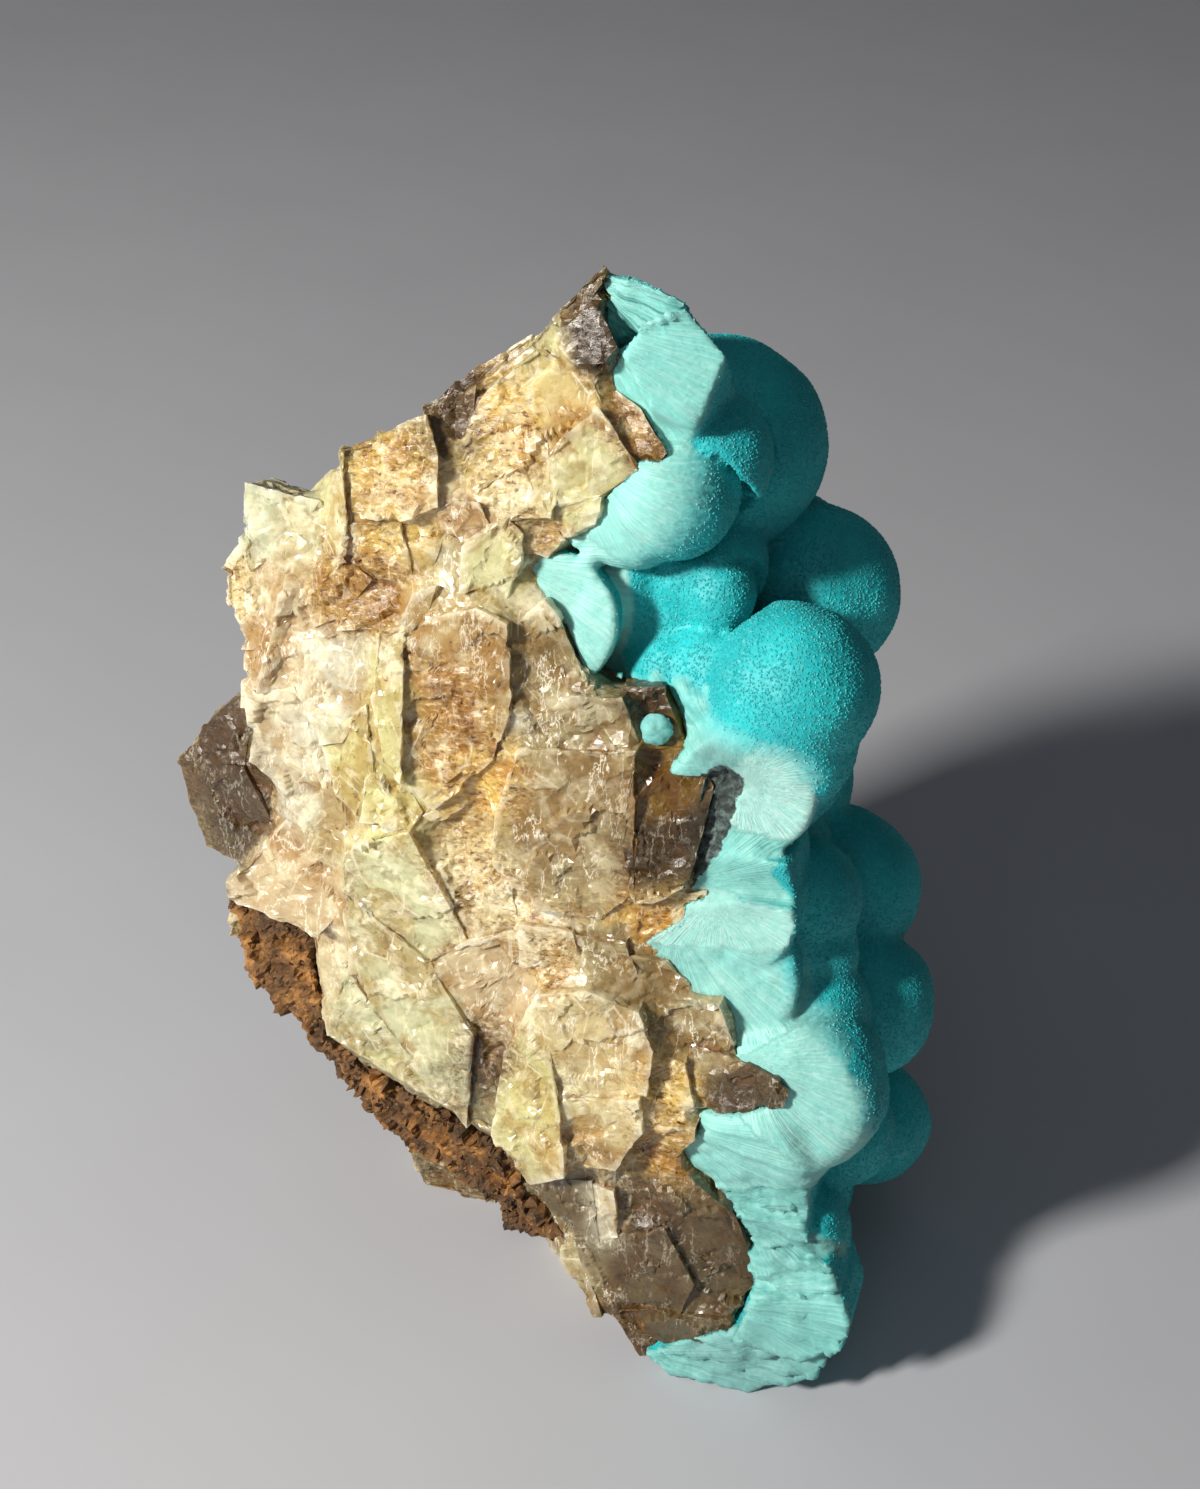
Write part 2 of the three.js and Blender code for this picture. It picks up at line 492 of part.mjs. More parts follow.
const calciteBodies = [...chainHulls(BLOCK), ...GRAINS.map(grainPoints), ...RHOMBS.map(rhombPoints)];
const rindBodies = [...chainHulls(RIND_BLOCK), ...RIND_GRAINS.map(grainPoints)];
const crustBodies = [...chainHulls(CRUST_MASS), ...SLABS.map(grainPoints)];

const calcite = join(calciteBodies.map((points) => hullOf(points))).subtract(belowTable);
const calciteRoom = join(calciteBodies.map((points) => hullOf(points, SEAM)));
const rindFull = join(rindBodies.map((points) => hullOf(points))).subtract(belowTable);
const rind = rindFull.subtract(calciteRoom);
const rindRoom = join(rindBodies.map((points) => hullOf(points, SEAM)));
const crustFull = join([
  ...crustBodies.map((points) => hullOf(points)),
  ...FRONT_DOMES.map((dome) => domeSolid(dome, dome[2] > LARGE_DOME ? 2 : 1)),
  ...BACK_DOMES.map((dome) => domeSolid(dome, 1)),
]);
const crust = crustFull.subtract(calciteRoom).subtract(rindRoom).subtract(belowTable);

const noduleCentre = place(NODULE_PLACE);
const ball = new THREE.IcosahedronGeometry(NODULE_RADIUS, 2);
const nodule = solidOf(ball.translate(noduleCentre.x, noduleCentre.y, noduleCentre.z)).subtract(calciteRoom);

const specimen = new THREE.Group();

function addPiece(name, solid, colour, roughness) {
  const material = new THREE.MeshStandardMaterial({ color: colour, roughness, metalness: 0 });
  const mesh = new THREE.Mesh(mainBody(solid), material);
  mesh.name = name;
  specimen.add(mesh);
}

addPiece('calcite_matrix', calcite, '#d3b27c', 0.45);
addPiece('brown_rind', rind, '#5e4230', 0.85);
addPiece('hemimorphite_crust', crust, '#38c4c8', 0.55);
addPiece('hemimorphite_nodule', nodule, '#9fd8cf', 0.5);

export default specimen;
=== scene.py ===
import math
import bmesh
import bpy
import numpy as np
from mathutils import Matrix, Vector, noise
from mathutils.bvhtree import BVHTree


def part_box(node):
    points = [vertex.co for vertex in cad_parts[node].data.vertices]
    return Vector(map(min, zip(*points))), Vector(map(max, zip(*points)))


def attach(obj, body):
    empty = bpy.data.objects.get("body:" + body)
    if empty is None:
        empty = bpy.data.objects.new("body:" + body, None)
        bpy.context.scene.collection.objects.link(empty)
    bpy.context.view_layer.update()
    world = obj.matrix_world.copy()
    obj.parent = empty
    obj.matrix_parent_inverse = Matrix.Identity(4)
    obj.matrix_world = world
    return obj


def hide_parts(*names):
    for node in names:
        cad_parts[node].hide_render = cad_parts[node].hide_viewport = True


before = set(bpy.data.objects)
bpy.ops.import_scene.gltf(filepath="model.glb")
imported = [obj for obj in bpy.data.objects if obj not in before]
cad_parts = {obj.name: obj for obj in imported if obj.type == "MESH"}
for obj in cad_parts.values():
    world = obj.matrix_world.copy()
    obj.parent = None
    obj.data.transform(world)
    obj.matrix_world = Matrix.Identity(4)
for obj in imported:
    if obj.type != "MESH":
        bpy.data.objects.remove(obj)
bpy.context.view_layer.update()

# Floor, light and camera.
# A pale floor, a lamp from the left, a soft one overhead and a dim grey surround. The camera
# looks down at the specimen, turned a little about its own axis.
MM = 0.001
CAMERA_PLACE = Vector((-3.0, -182.0, 207.0)) * MM
CAMERA_DIP = math.radians(37.4)
CAMERA_ROLL = math.radians(2.74)
FOCAL_PIXELS = 2300
IMAGE_HEIGHT = 1489
SENSOR = 36.0


def linear(hex_colour):
    """An sRGB hex colour as linear red, green, blue and alpha."""
    parts = [int(hex_colour[i:i + 2], 16) / 255 for i in (1, 3, 5)]
    return tuple(c / 12.92 if c <= 0.04045 else ((c + 0.055) / 1.055) ** 2.4 for c in parts) + (1.0,)


def add_node(tree, kind, links=None, **settings):
    """Adds a node with its settings. links maps its inputs to values, to other nodes' outputs, or to
    other nodes, each of which stands for its first output in use."""
    node = tree.nodes.new(kind)
    for name, value in settings.items():
        setattr(node, name, value)
    for key, value in (links or {}).items():
        if isinstance(value, bpy.types.Node):
            value = next(output for output in value.outputs if output.enabled)
        socket = node.inputs[key]
        if isinstance(value, bpy.types.NodeSocket):
            tree.links.new(value, socket)
        else:
            socket.default_value = value
    return node


def new_material(name):
    """An empty material and its tree."""
    material = bpy.data.materials.new(name)
    material.use_nodes = True
    material.node_tree.nodes.clear()
    return material, material.node_tree


def mesh_object(name, bm):
    """A new object at the origin that holds what a bmesh holds."""
    mesh = bpy.data.meshes.new(name)
    bm.to_mesh(mesh)
    bm.free()
    made = bpy.data.objects.new(name, mesh)
    bpy.context.scene.collection.objects.link(made)
    return made


def matte_floor():
    """Matt painted board: an even pale lilac grey with faint mottling."""
    material, tree = new_material("painted_board")
    place = add_node(tree, "ShaderNodeTexCoord").outputs["Object"]
    mottle = add_node(tree, "ShaderNodeTexNoise", {"Vector": place, "Scale": 30.0, "Detail": 4.0})
    tones = {"Factor": mottle, "A": linear("#b0b2b8"), "B": linear("#b7b9bf")}
    tone = add_node(tree, "ShaderNodeMix", tones, data_type="RGBA")
    shader = add_node(tree, "ShaderNodeBsdfPrincipled", {"Base Color": tone, "Roughness": 0.7})
    add_node(tree, "ShaderNodeOutputMaterial", {"Surface": shader})
    return material


floor_bm = bmesh.new()
bmesh.ops.create_grid(floor_bm, x_segments=1, y_segments=1, size=1.6)
floor = mesh_object("floor", floor_bm)
floor.data.materials.append(matte_floor())

# The middle of the specimen, where the lamps look
AIM = Vector((-4.0, 0.0, 55.0)) * MM


def area_light(name, direction, distance, size, power, colour):
    """A square lamp at a distance from the specimen's middle, looking at it."""
    lamp = bpy.data.lights.new(name, "AREA")
    lamp.size = size
    lamp.energy = power
    lamp.color = linear(colour)[:3]
    holder = bpy.data.objects.new(name, lamp)
    holder.location = AIM + direction.normalized() * distance
    holder.rotation_euler = direction.to_track_quat("Z", "Y").to_euler()
    bpy.context.scene.collection.objects.link(holder)


area_light("key", Vector((-0.68, -0.50, 0.54)), 0.6, 0.07, 5.6, "#fffaf2")
area_light("overhead", Vector((-0.1, 0.0, 1.0)), 1.0, 0.8, 0.6, "#eef4ff")
area_light("front", Vector((0.0, -1.0, 0.7)), 1.1, 0.9, 1.0, "#eef4ff")

world = bpy.data.worlds.new("grey_room")
world.use_nodes = True
world.node_tree.nodes["Background"].inputs["Color"].default_value = linear("#d9dde2")
world.node_tree.nodes["Background"].inputs["Strength"].default_value = 0.045
bpy.context.scene.world = world
bpy.context.scene.view_settings.view_transform = "Standard"

camera_data = bpy.data.cameras.new("camera")
camera_data.sensor_width = SENSOR
camera_data.lens = FOCAL_PIXELS / IMAGE_HEIGHT * SENSOR
camera_data.clip_start = 0.01
camera = bpy.data.objects.new("camera", camera_data)
camera.location = CAMERA_PLACE
camera.rotation_euler = (math.pi / 2 - CAMERA_DIP, 0.0, 0.0)
camera.rotation_euler.rotate_axis("Z", CAMERA_ROLL)
bpy.context.scene.collection.objects.link(camera)
bpy.context.scene.camera = camera

# Calcite block.
# Intergrown calcite, broken by a hammer: flat cleavage faces in steps, cream and honey to rust
# brown by grain, half clear, with white cracks. Each flat face belongs to a grain.

# The broken face that meets the viewer leans back and is turned, its left side farther away.
# A place on it is across, up and out of the face, in millimetres.
FACE_LEAN = math.radians(12)
FACE_TURN = math.radians(14)
FACE_FOOT = np.array([12.0, -25.0, 0.0])
ACROSS = np.array([math.cos(FACE_TURN), -math.sin(FACE_TURN), 0.0])
UP = np.array([
    math.sin(FACE_LEAN) * math.sin(FACE_TURN),
    math.sin(FACE_LEAN) * math.cos(FACE_TURN),
    math.cos(FACE_LEAN),
])
OUT = np.cross(ACROSS, UP)
FACE_AXES = np.stack([ACROSS, UP, OUT])

# Middle of each grain on the face, across and up, with the tint that its calcite shows. The dark
# greyish brown given to four grains of the foot is painted shade, not the calcite's own colour
GRAIN_TINTS = [
    ("umber", -25.5, 117.5), ("bark", -23.8, 114.4), ("bark", -22.6, 112.6), ("cream", -27.3, 112),
    ("honey", -30, 105), ("sand", -25, 106), ("peach", -30, 98), ("cream", -21.8, 102.5),
    ("cream", -23.5, 97.5), ("peach", -26.2, 94), ("amber", -19.6, 105.6), ("umber", -16.6, 103.4),
    ("umber", -36, 103), ("honey", -41, 98.5), ("cream", -47, 92.5), ("mint", -54, 88),
    ("peach", -59.5, 80), ("pink", -53, 81), ("amber", -46, 85), ("honey", -42, 90), ("amber", -42, 86),
    ("honey", -38.5, 92), ("pink", -34, 95), ("taupe", -35.8, 90), ("cream", -31, 91),
    ("sand", -37.5, 85.5), ("rust", -33.5, 76), ("brown", -30.5, 69), ("straw", -40, 75),
    ("white", -46.5, 75), ("straw", -43.5, 67), ("straw", -39.5, 64.5), ("pink", -54, 74),
    ("white", -50, 66), ("bark", -61.5, 62), ("bark", -60, 54), ("pink", -51, 50), ("taupe", -25.5, 80),
    ("taupe", -21.5, 76), ("taupe", -21, 64), ("umber", -15.4, 79.6), ("taupe", -17.5, 77),
    ("resin", -12.5, 74.5), ("resin", -12, 71), ("bark", -12.5, 65), ("slate", -7.5, 67.5),
    ("peach", -31.5, 57), ("lime", -38, 53), ("lime", -35, 39), ("pink", -27, 45), ("peach", -21.8, 50.5),
    ("taupe", -15.8, 51), ("taupe", -11, 50), ("brown", -10.5, 56.5), ("sand", -15, 42),
    ("straw", -22, 34), ("umber", -27, 36), ("sand", -14.5, 30.5), ("taupe", -6, 44.5),
    ("honey", -8, 38.5), ("umber", -1, 38.5), ("rust", -8.5, 30), ("white", -14, 20), ("painted_shade_foot", -17, 19.5),
    ("umber", -10, 21), ("painted_shade_foot", -2, 18), ("painted_shade_foot", -9, 13), ("painted_shade_foot", -5, 6), ("taupe", -15.5, 10.5),
    ("umber", -9.5, 3.5), ("umber", -36, 4),
]
CALCITE_TINTS = {
    "cream": "#c8c592", "honey": "#cdae5a", "sand": "#c6b686", "peach": "#cdbb88",
    "rust": "#b28a3c", "umber": "#4a3a20", "brown": "#d9b45a", "amber": "#a27a28",
    "pink": "#c0ab84", "white": "#c9c5ae", "straw": "#cbc88a", "taupe": "#9a8d66",
    # The foot's dark greyish brown on the next line is painted shade
    "painted_shade_foot": "#4e4129", "bark": "#3c2a0e", "resin": "#84611a", "mint": "#c3c8a8",
    "lime": "#c4c79e", "slate": "#2f3832",
}
# Grains with a granular, glittering break, and clear ones with white cracks inside
GRANULAR = ("brown", "rust", "peach", "honey", "amber", "umber", "bark")
CRACKED = ("taupe", "pink", "white", "sand", "mint")
# Grooves up to twice this width are filled, to this far under the faces, in millimetres
GROOVE = 2.6
FILLER_DEPTH = 0.3
FILLER_VOXEL = 0.6 * MM
# The longest edge that is left for the relief
BLOCK_EDGE = 0.78 * MM
PIECE_TRIANGLES = 190000


def merged_copy(node_name):
    """A bmesh of a solid with its doubled corners joined."""
    bm = bmesh.new()
    bm.from_mesh(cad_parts[node_name].data)
    bmesh.ops.remove_doubles(bm, verts=bm.verts, dist=0.002 * MM)
    return bm


def modified_mesh(target, kind, **settings):
    """Puts a modifier on an object, keeps its result as the object's own mesh and removes it."""
    modifier = target.modifiers.new(kind.lower(), kind)
    for name, value in settings.items():
        setattr(modifier, name, value)
    keep_result(target)


def keep_result(target):
    """Replaces an object's mesh by its evaluated one and takes its modifiers off."""
    bpy.context.view_layer.update()
    evaluated = target.evaluated_get(bpy.context.evaluated_depsgraph_get())
    result = bpy.data.meshes.new_from_object(evaluated)
    target.modifiers.clear()
    target.data = result


def combine(target, other, operation):
    """Joins another object's body to an object or cuts it away, then removes the other object."""
    modified_mesh(target, "BOOLEAN", operation=operation, solver="MANIFOLD", object=other)
    bpy.data.objects.remove(other)


def new_tree(name, numbers):
    """A geometry tree that takes a shape, named numbers and a material, and its input node."""
    tree = bpy.data.node_groups.new(name, "GeometryNodeTree")
    tree.interface.new_socket("Geometry", in_out="INPUT", socket_type="NodeSocketGeometry")
    for label in numbers:
        tree.interface.new_socket(label, in_out="INPUT", socket_type="NodeSocketFloat")
    tree.interface.new_socket("Material", in_out="INPUT", socket_type="NodeSocketMaterial")
    tree.interface.new_socket("Geometry", in_out="OUTPUT", socket_type="NodeSocketGeometry")
    return tree, add_node(tree, "NodeGroupInput")


def end_tree(tree, entry, shape):
    """Ends a geometry tree: real mesh, in the material it was given."""
    whole = add_node(tree, "GeometryNodeRealizeInstances", {"Geometry": shape})
    links = {"Geometry": whole, "Material": entry.outputs["Material"]}
    paint = add_node(tree, "GeometryNodeSetMaterial", links)
    add_node(tree, "NodeGroupOutput", {"Geometry": paint})
    return tree


def run_tree(target, tree, values):
    """Runs a geometry tree on an object, each input set by its identifier, and keeps the result."""
    modifier = target.modifiers.new(tree.name, "NODES")
    modifier.node_group = tree
    for item in tree.interface.items_tree:
        if item.item_type == "SOCKET" and item.in_out == "INPUT" and item.name in values:
            modifier[item.identifier] = values[item.name]
    keep_result(target)


def facet_tree(sizes):
    """A tree that steps a surface in small blocks along the cleavage. For each size, skewed square
    cells of random height and slight tilt move the surface along its normal."""
    numbers = [f"{label} {part}" for label in sizes for part in ("size", "relief", "tilt")]
    tree, entry = new_tree("cleavage", numbers)
    shape = entry.outputs["Geometry"]
    for label, spin in sizes.items():
        place = {"Vector": add_node(tree, "GeometryNodeInputPosition"), "Rotation": spin}
        turned = add_node(tree, "ShaderNodeVectorRotate", place, rotation_type="EULER_XYZ")
        skew = {0: turned, 1: (1.0, 0.8, 1.4)}
        skew = add_node(tree, "ShaderNodeVectorMath", skew, operation="MULTIPLY")
        fine = {0: 1.0, 1: entry.outputs[label + " size"]}
        fine = add_node(tree, "ShaderNodeMath", fine, operation="DIVIDE")
        cells = {"Vector": skew, "Scale": fine, "Randomness": 0.8}
        cells = add_node(tree, "ShaderNodeTexVoronoi", cells, distance="CHEBYCHEV")
        offset = {0: skew, 1: cells.outputs["Position"]}
        offset = add_node(tree, "ShaderNodeVectorMath", offset, operation="SUBTRACT")
        lean = {0: cells.outputs["Color"], 1: (0.5, 0.5, 0.5)}
        lean = add_node(tree, "ShaderNodeVectorMath", lean, operation="SUBTRACT")
        slope = {0: offset, 1: lean}
        slope = add_node(tree, "ShaderNodeVectorMath", slope, operation="DOT_PRODUCT")
        parts = add_node(tree, "ShaderNodeSeparateXYZ", {0: lean})
        rise = {0: parts.outputs["X"], 1: entry.outputs[label + " relief"]}
        rise = add_node(tree, "ShaderNodeMath", rise, operation="MULTIPLY")
        total = {0: slope, 1: entry.outputs[label + " tilt"], 2: rise}
        total = add_node(tree, "ShaderNodeMath", total, operation="MULTIPLY_ADD")
        push = {0: add_node(tree, "GeometryNodeInputNormal"), "Scale": total}
        push = add_node(tree, "ShaderNodeVectorMath", push, operation="SCALE")
        shape = add_node(tree, "GeometryNodeSetPosition", {"Geometry": shape, "Offset": push})
    return end_tree(tree, entry, shape)


def thin_out(target, limit=PIECE_TRIANGLES):
    """Decimates a mesh where it is flattest, down to the most triangles a piece may have."""
    triangles = sum(len(p.vertices) - 2 for p in target.data.polygons)
    if triangles > limit:
        modified_mesh(target, "DECIMATE", ratio=limit / triangles)


def points_of(mesh):
    """A mesh's corners as an array, in millimetres."""
    flat = np.empty(len(mesh.vertices) * 3, dtype=np.float32)
    mesh.vertices.foreach_get("co", flat)
    return flat.reshape(-1, 3).astype(float) / MM


def normals_of(mesh):
    """A mesh's corner normals as an array."""
    flat = np.empty(len(mesh.vertices) * 3, dtype=np.float32)
    mesh.vertex_normals.foreach_get("vector", flat)
    return flat.reshape(-1, 3).astype(float)


def on_face(points):
    """World millimetres as across, up and out of the broken face."""
    return (points - FACE_FOOT) @ FACE_AXES.T


def store(mesh, name, values, kind="FLOAT"):
    """Keeps one value for each corner of a mesh as an attribute."""
    attribute = mesh.attributes.new(name, kind, "POINT")
    key = {"FLOAT": "value", "FLOAT_VECTOR": "vector", "FLOAT_COLOR": "color"}[kind]
    attribute.data.foreach_set(key, np.asarray(values, dtype=np.float32).ravel())


def tint_by_grain(mesh, node_name):
    """Gives each corner its grain's tint. A flat face takes the nearest grain's tint, softened by
    the grains around it; on the hidden sides each flat face takes a sandy, honey, taupe or cream
    tint. Also keeps a random shade for each flat face."""
    bm = merged_copy(node_name)
    bmesh.ops.dissolve_limit(bm, angle_limit=math.radians(1.5), verts=bm.verts, edges=bm.edges)
    bm.faces.ensure_lookup_table()
    seeds = np.array([[across, up] for _, across, up in GRAIN_TINTS], dtype=float)
    colours = np.array([linear(CALCITE_TINTS[name])[:3] for name, _, _ in GRAIN_TINTS])
    dice = np.random.default_rng(11)
    middles = on_face(np.array([flat.calc_center_median() for flat in bm.faces]) / MM)
    shades = dice.random(len(bm.faces))
    spare = np.array([linear(CALCITE_TINTS[name])[:3] for name in ("sand", "honey", "taupe", "cream")])
    spares = spare[dice.integers(len(spare), size=len(bm.faces))]
    tree = BVHTree.FromBMesh(bm)
    bm.free()
    found = np.array([tree.find_nearest(vertex.co)[2] for vertex in mesh.vertices])
    face = on_face(points_of(mesh))
    reach = np.linalg.norm(face[:, None, :2] - seeds[None], axis=2)
    weight = 1 / np.maximum(reach, 0.5) ** 5
    soft = (weight @ colours) / weight.sum(axis=1, keepdims=True)
    for label, names in (("granular", GRANULAR), ("cracked", CRACKED)):
        belongs = np.array([name in names for name, _, _ in GRAIN_TINTS], dtype=float)
        store(mesh, label, (weight @ belongs) / weight.sum(axis=1))
    flat_reach = np.linalg.norm(middles[:, None, :2] - seeds[None], axis=2)
    crisp = colours[flat_reach.argmin(axis=1)][found]
    tint = 0.6 * soft + 0.4 * crisp
    hidden = np.clip((-7 - face[:, 2]) / 5, 0, 1)[:, None]
    tint = tint * (1 - hidden) + (0.5 * soft + 0.5 * spares[found]) * hidden
    store(mesh, "tint", np.concatenate([tint, np.ones((len(tint), 1))], axis=1), "FLOAT_COLOR")
    store(mesh, "shade", shades[found])


def mark_bends(mesh):
    """Keeps, for each corner, how much of an edge (worn) or of a groove (seam) it lies on."""
    points, normals = points_of(mesh), normals_of(mesh)
    ends = np.empty(len(mesh.edges) * 2, dtype=np.int32)
    mesh.edges.foreach_get("vertices", ends)
    ends = ends.reshape(-1, 2)
    start, end = np.concatenate([ends, ends[:, ::-1]]).T
    way = points[end] - points[start]
    rise = (way * normals[start]).sum(axis=1) / np.maximum(np.linalg.norm(way, axis=1), 1e-4)
    count = np.maximum(np.bincount(start, minlength=len(points)), 1)
    bend = np.bincount(start, weights=rise, minlength=len(points)) / count
    for _ in range(2):
        bend = 0.5 * bend + 0.5 * np.bincount(start, weights=bend[end], minlength=len(points)) / count
    store(mesh, "worn", np.clip((-bend - 0.04) / 0.2, 0, 1))
    store(mesh, "seam", np.clip((bend - 0.03) / 0.2, 0, 1))


def rest_on_floor(mesh):
    """Flattens what the relief pushed below the floor."""
    points = points_of(mesh) * MM
    points[:, 2] = np.maximum(points[:, 2], 0)
    mesh.vertices.foreach_set("co", points.astype(np.float32).ravel())
    mesh.update()


def leaning(tree, normal, cells, amount):
    """A normal that leans another way in each cell of a pattern."""
    lean = {0: cells.outputs["Color"], 1: (0.5, 0.5, 0.5)}
    lean = {0: add_node(tree, "ShaderNodeVectorMath", lean, operation="SUBTRACT"), "Scale": amount}
    lean = {0: normal, 1: add_node(tree, "ShaderNodeVectorMath", lean, operation="SCALE")}
    return add_node(tree, "ShaderNodeVectorMath", lean, operation="ADD")


def calcite_material():
    """Calcite, broken along its cleavage: half clear, so light goes a little way in, with a glassy
    gloss on the flat facets, white cracks, cloudy patches and rust in the seams."""
    material, tree = new_material("calcite")
    place = add_node(tree, "ShaderNodeTexCoord").outputs["Object"]
    marks = {}
    for name in ("tint", "shade", "granular", "cracked", "seam", "worn"):
        marks[name] = add_node(tree, "ShaderNodeAttribute", attribute_name=name).outputs
    # Places stretched along the granular streaks, along the upright cracks and along the splits
    stretched = {"as it is": place}
    for name, stretch, turn in (
        ("slanting", (0.5, 1.0, 1.0), (0.0, 0.7, 0.25)),
        ("upright", (1.0, 1.0, 0.32), (0.0, 0.15, 0.0)),
        ("skewed", (1.0, 0.8, 0.55), (0.3, 0.5, 0.2)),
    ):
        links = {"Vector": place, "Scale": stretch, "Rotation": turn}
        stretched[name] = add_node(tree, "ShaderNodeMapping", links)

    # Clouds in the crystal: stretch, size in millimetres, detail, roughness and warp
    clouds = {}
    for name, along, size, detail, roughness, warp in (
        ("gold", "as it is", 7.0, 6.0, 0.6, 0.8),
        ("milk", "as it is", 4.0, 7.0, 0.62, 1.0),
        ("deep", "as it is", 3.0, 6.0, 0.65, 0.8),
        ("streaks", "slanting", 0.45, 4.0, 0.7, 0.0),
        ("wander", "upright", 2.2, 5.0, 0.6, 0.0),
        ("flecks", "upright", 0.55, 3.0, 0.6, 0.0),
        ("patches", "as it is", 4.5, 3.0, 0.55, 0.0),
        ("ajar", "as it is", 3.0, 3.0, 0.55, 0.0),
        ("specks", "as it is", 0.45, 3.0, 0.6, 0.0),
        ("rust", "as it is", 2.5, 4.0, 0.7, 0.0),
        ("gloss", "as it is", 1.4, 4.0, 0.7, 0.0),
    ):
        clouds[name] = add_node(tree, "ShaderNodeTexNoise", {
            "Vector": stretched[along],
            "Scale": 1.0 / (size * MM),
            "Detail": detail,
            "Roughness": roughness,
            "Distortion": warp,
        })
    off = add_node(tree, "ShaderNodeMath", {0: clouds["wander"], 1: 0.5}, operation="SUBTRACT")
    off = add_node(tree, "ShaderNodeMath", {0: off}, operation="ABSOLUTE")
    splits = {"Vector": stretched["skewed"], "Scale": 1.0 / (3.0 * MM)}
    splits = add_node(tree, "ShaderNodeTexVoronoi", splits, feature="DISTANCE_TO_EDGE")

    # Each grain has its own shade, and how light it is decides how much of the white shows in it
    shading = add_node(tree, "ShaderNodeMath", {0: marks["shade"]["Fac"], 1: 0.2}, operation="MULTIPLY")
    colour = {"Factor": shading, "A": marks["tint"]["Color"], "B": linear("#8d7342")}
    colour = add_node(tree, "ShaderNodeMix", colour, data_type="RGBA")
    bright = add_node(tree, "ShaderNodeSeparateColor", {"Color": colour}).outputs["Green"]
    # Where each thing shows: what it is read from, and where that starts and is full
    shows = {name: marks[name]["Fac"] for name in ("granular", "seam", "worn")}
    for name, source, start, full in (
        ("light grain", bright, 0.12, 0.35), ("painted glint grain", bright, 0.05, 0.3),
        ("gold", clouds["gold"], 0.46, 0.57), ("milk", clouds["milk"], 0.50, 0.64),
        ("deep", clouds["deep"], 0.54, 0.68), ("painted glints", clouds["streaks"], 0.55, 0.66),
        ("dark streaks", clouds["streaks"], 0.47, 0.35), ("crack", off, 0.016, 0.0),
        ("flecks", clouds["flecks"], 0.62, 0.70), ("patches", clouds["patches"], 0.44, 0.56),
        ("split", splits, 0.03, 0.0), ("ajar", clouds["ajar"], 0.50, 0.58),
        ("specks", clouds["specks"], 0.63, 0.69), ("rust", clouds["rust"], 0.40, 0.60),
        ("gloss", clouds["gloss"], 0.3, 0.7),
    ):
        links = {"Value": source, "From Min": start, "From Max": full}
        shows[name] = add_node(tree, "ShaderNodeMapRange", links)
    white = {0: shows["crack"], 1: shows["flecks"]}
    shows["white"] = add_node(tree, "ShaderNodeMath", white, operation="MAXIMUM")
    clear = {"Value": marks["cracked"]["Fac"], "To Min": 0.3, "To Max": 1.0}
    shows["clear grain"] = add_node(tree, "ShaderNodeMapRange", clear)

    # From the inside out: golden clouds where iron soaked in, milk where it is full of fine cracks,
    # deep spots, painted highlights that sparkle and dark streaks in granular grains, straight splits
    # along the cleavage, white cracks and flecks, dark specks, rust in the grooves and bruised pale edges
    for blend, tone, share, where in (
        ("MULTIPLY", "#d4ae66", 0.68, ("gold",)),
        ("MIX", "#ebe5c4", 0.6, ("milk", "light grain")),
        ("MULTIPLY", "#a08448", 0.52, ("deep",)),
        # Painted highlights: pale sparkle painted into the colour of granular grains, more in lighter
        # ones
        ("MIX", "#f4e0b0", 0.8, ("painted glints", "painted glint grain", "granular")),
        ("MULTIPLY", "#8f6428", 0.95, ("dark streaks", "granular")),
        ("MIX", "#f4edd4", 0.5, ("split", "ajar", "light grain")),
        ("MIX", "#f2ebd6", 1.0, ("white", "patches", "clear grain")),
        ("MIX", "#5f3c1c", 0.8, ("specks", "gold")),
        ("MIX", "#7d5226", 0.85, ("seam", "rust")),
        ("MIX", "#f3edd6", 0.5, ("worn", "light grain")),
    ):
        cover = share
        for name in where:
            cover = add_node(tree, "ShaderNodeMath", {0: shows[name], 1: cover}, operation="MULTIPLY")
        colour = {"Factor": cover, "A": colour, "B": linear(tone)}
        colour = add_node(tree, "ShaderNodeMix", colour, data_type="RGBA", blend_type=blend)

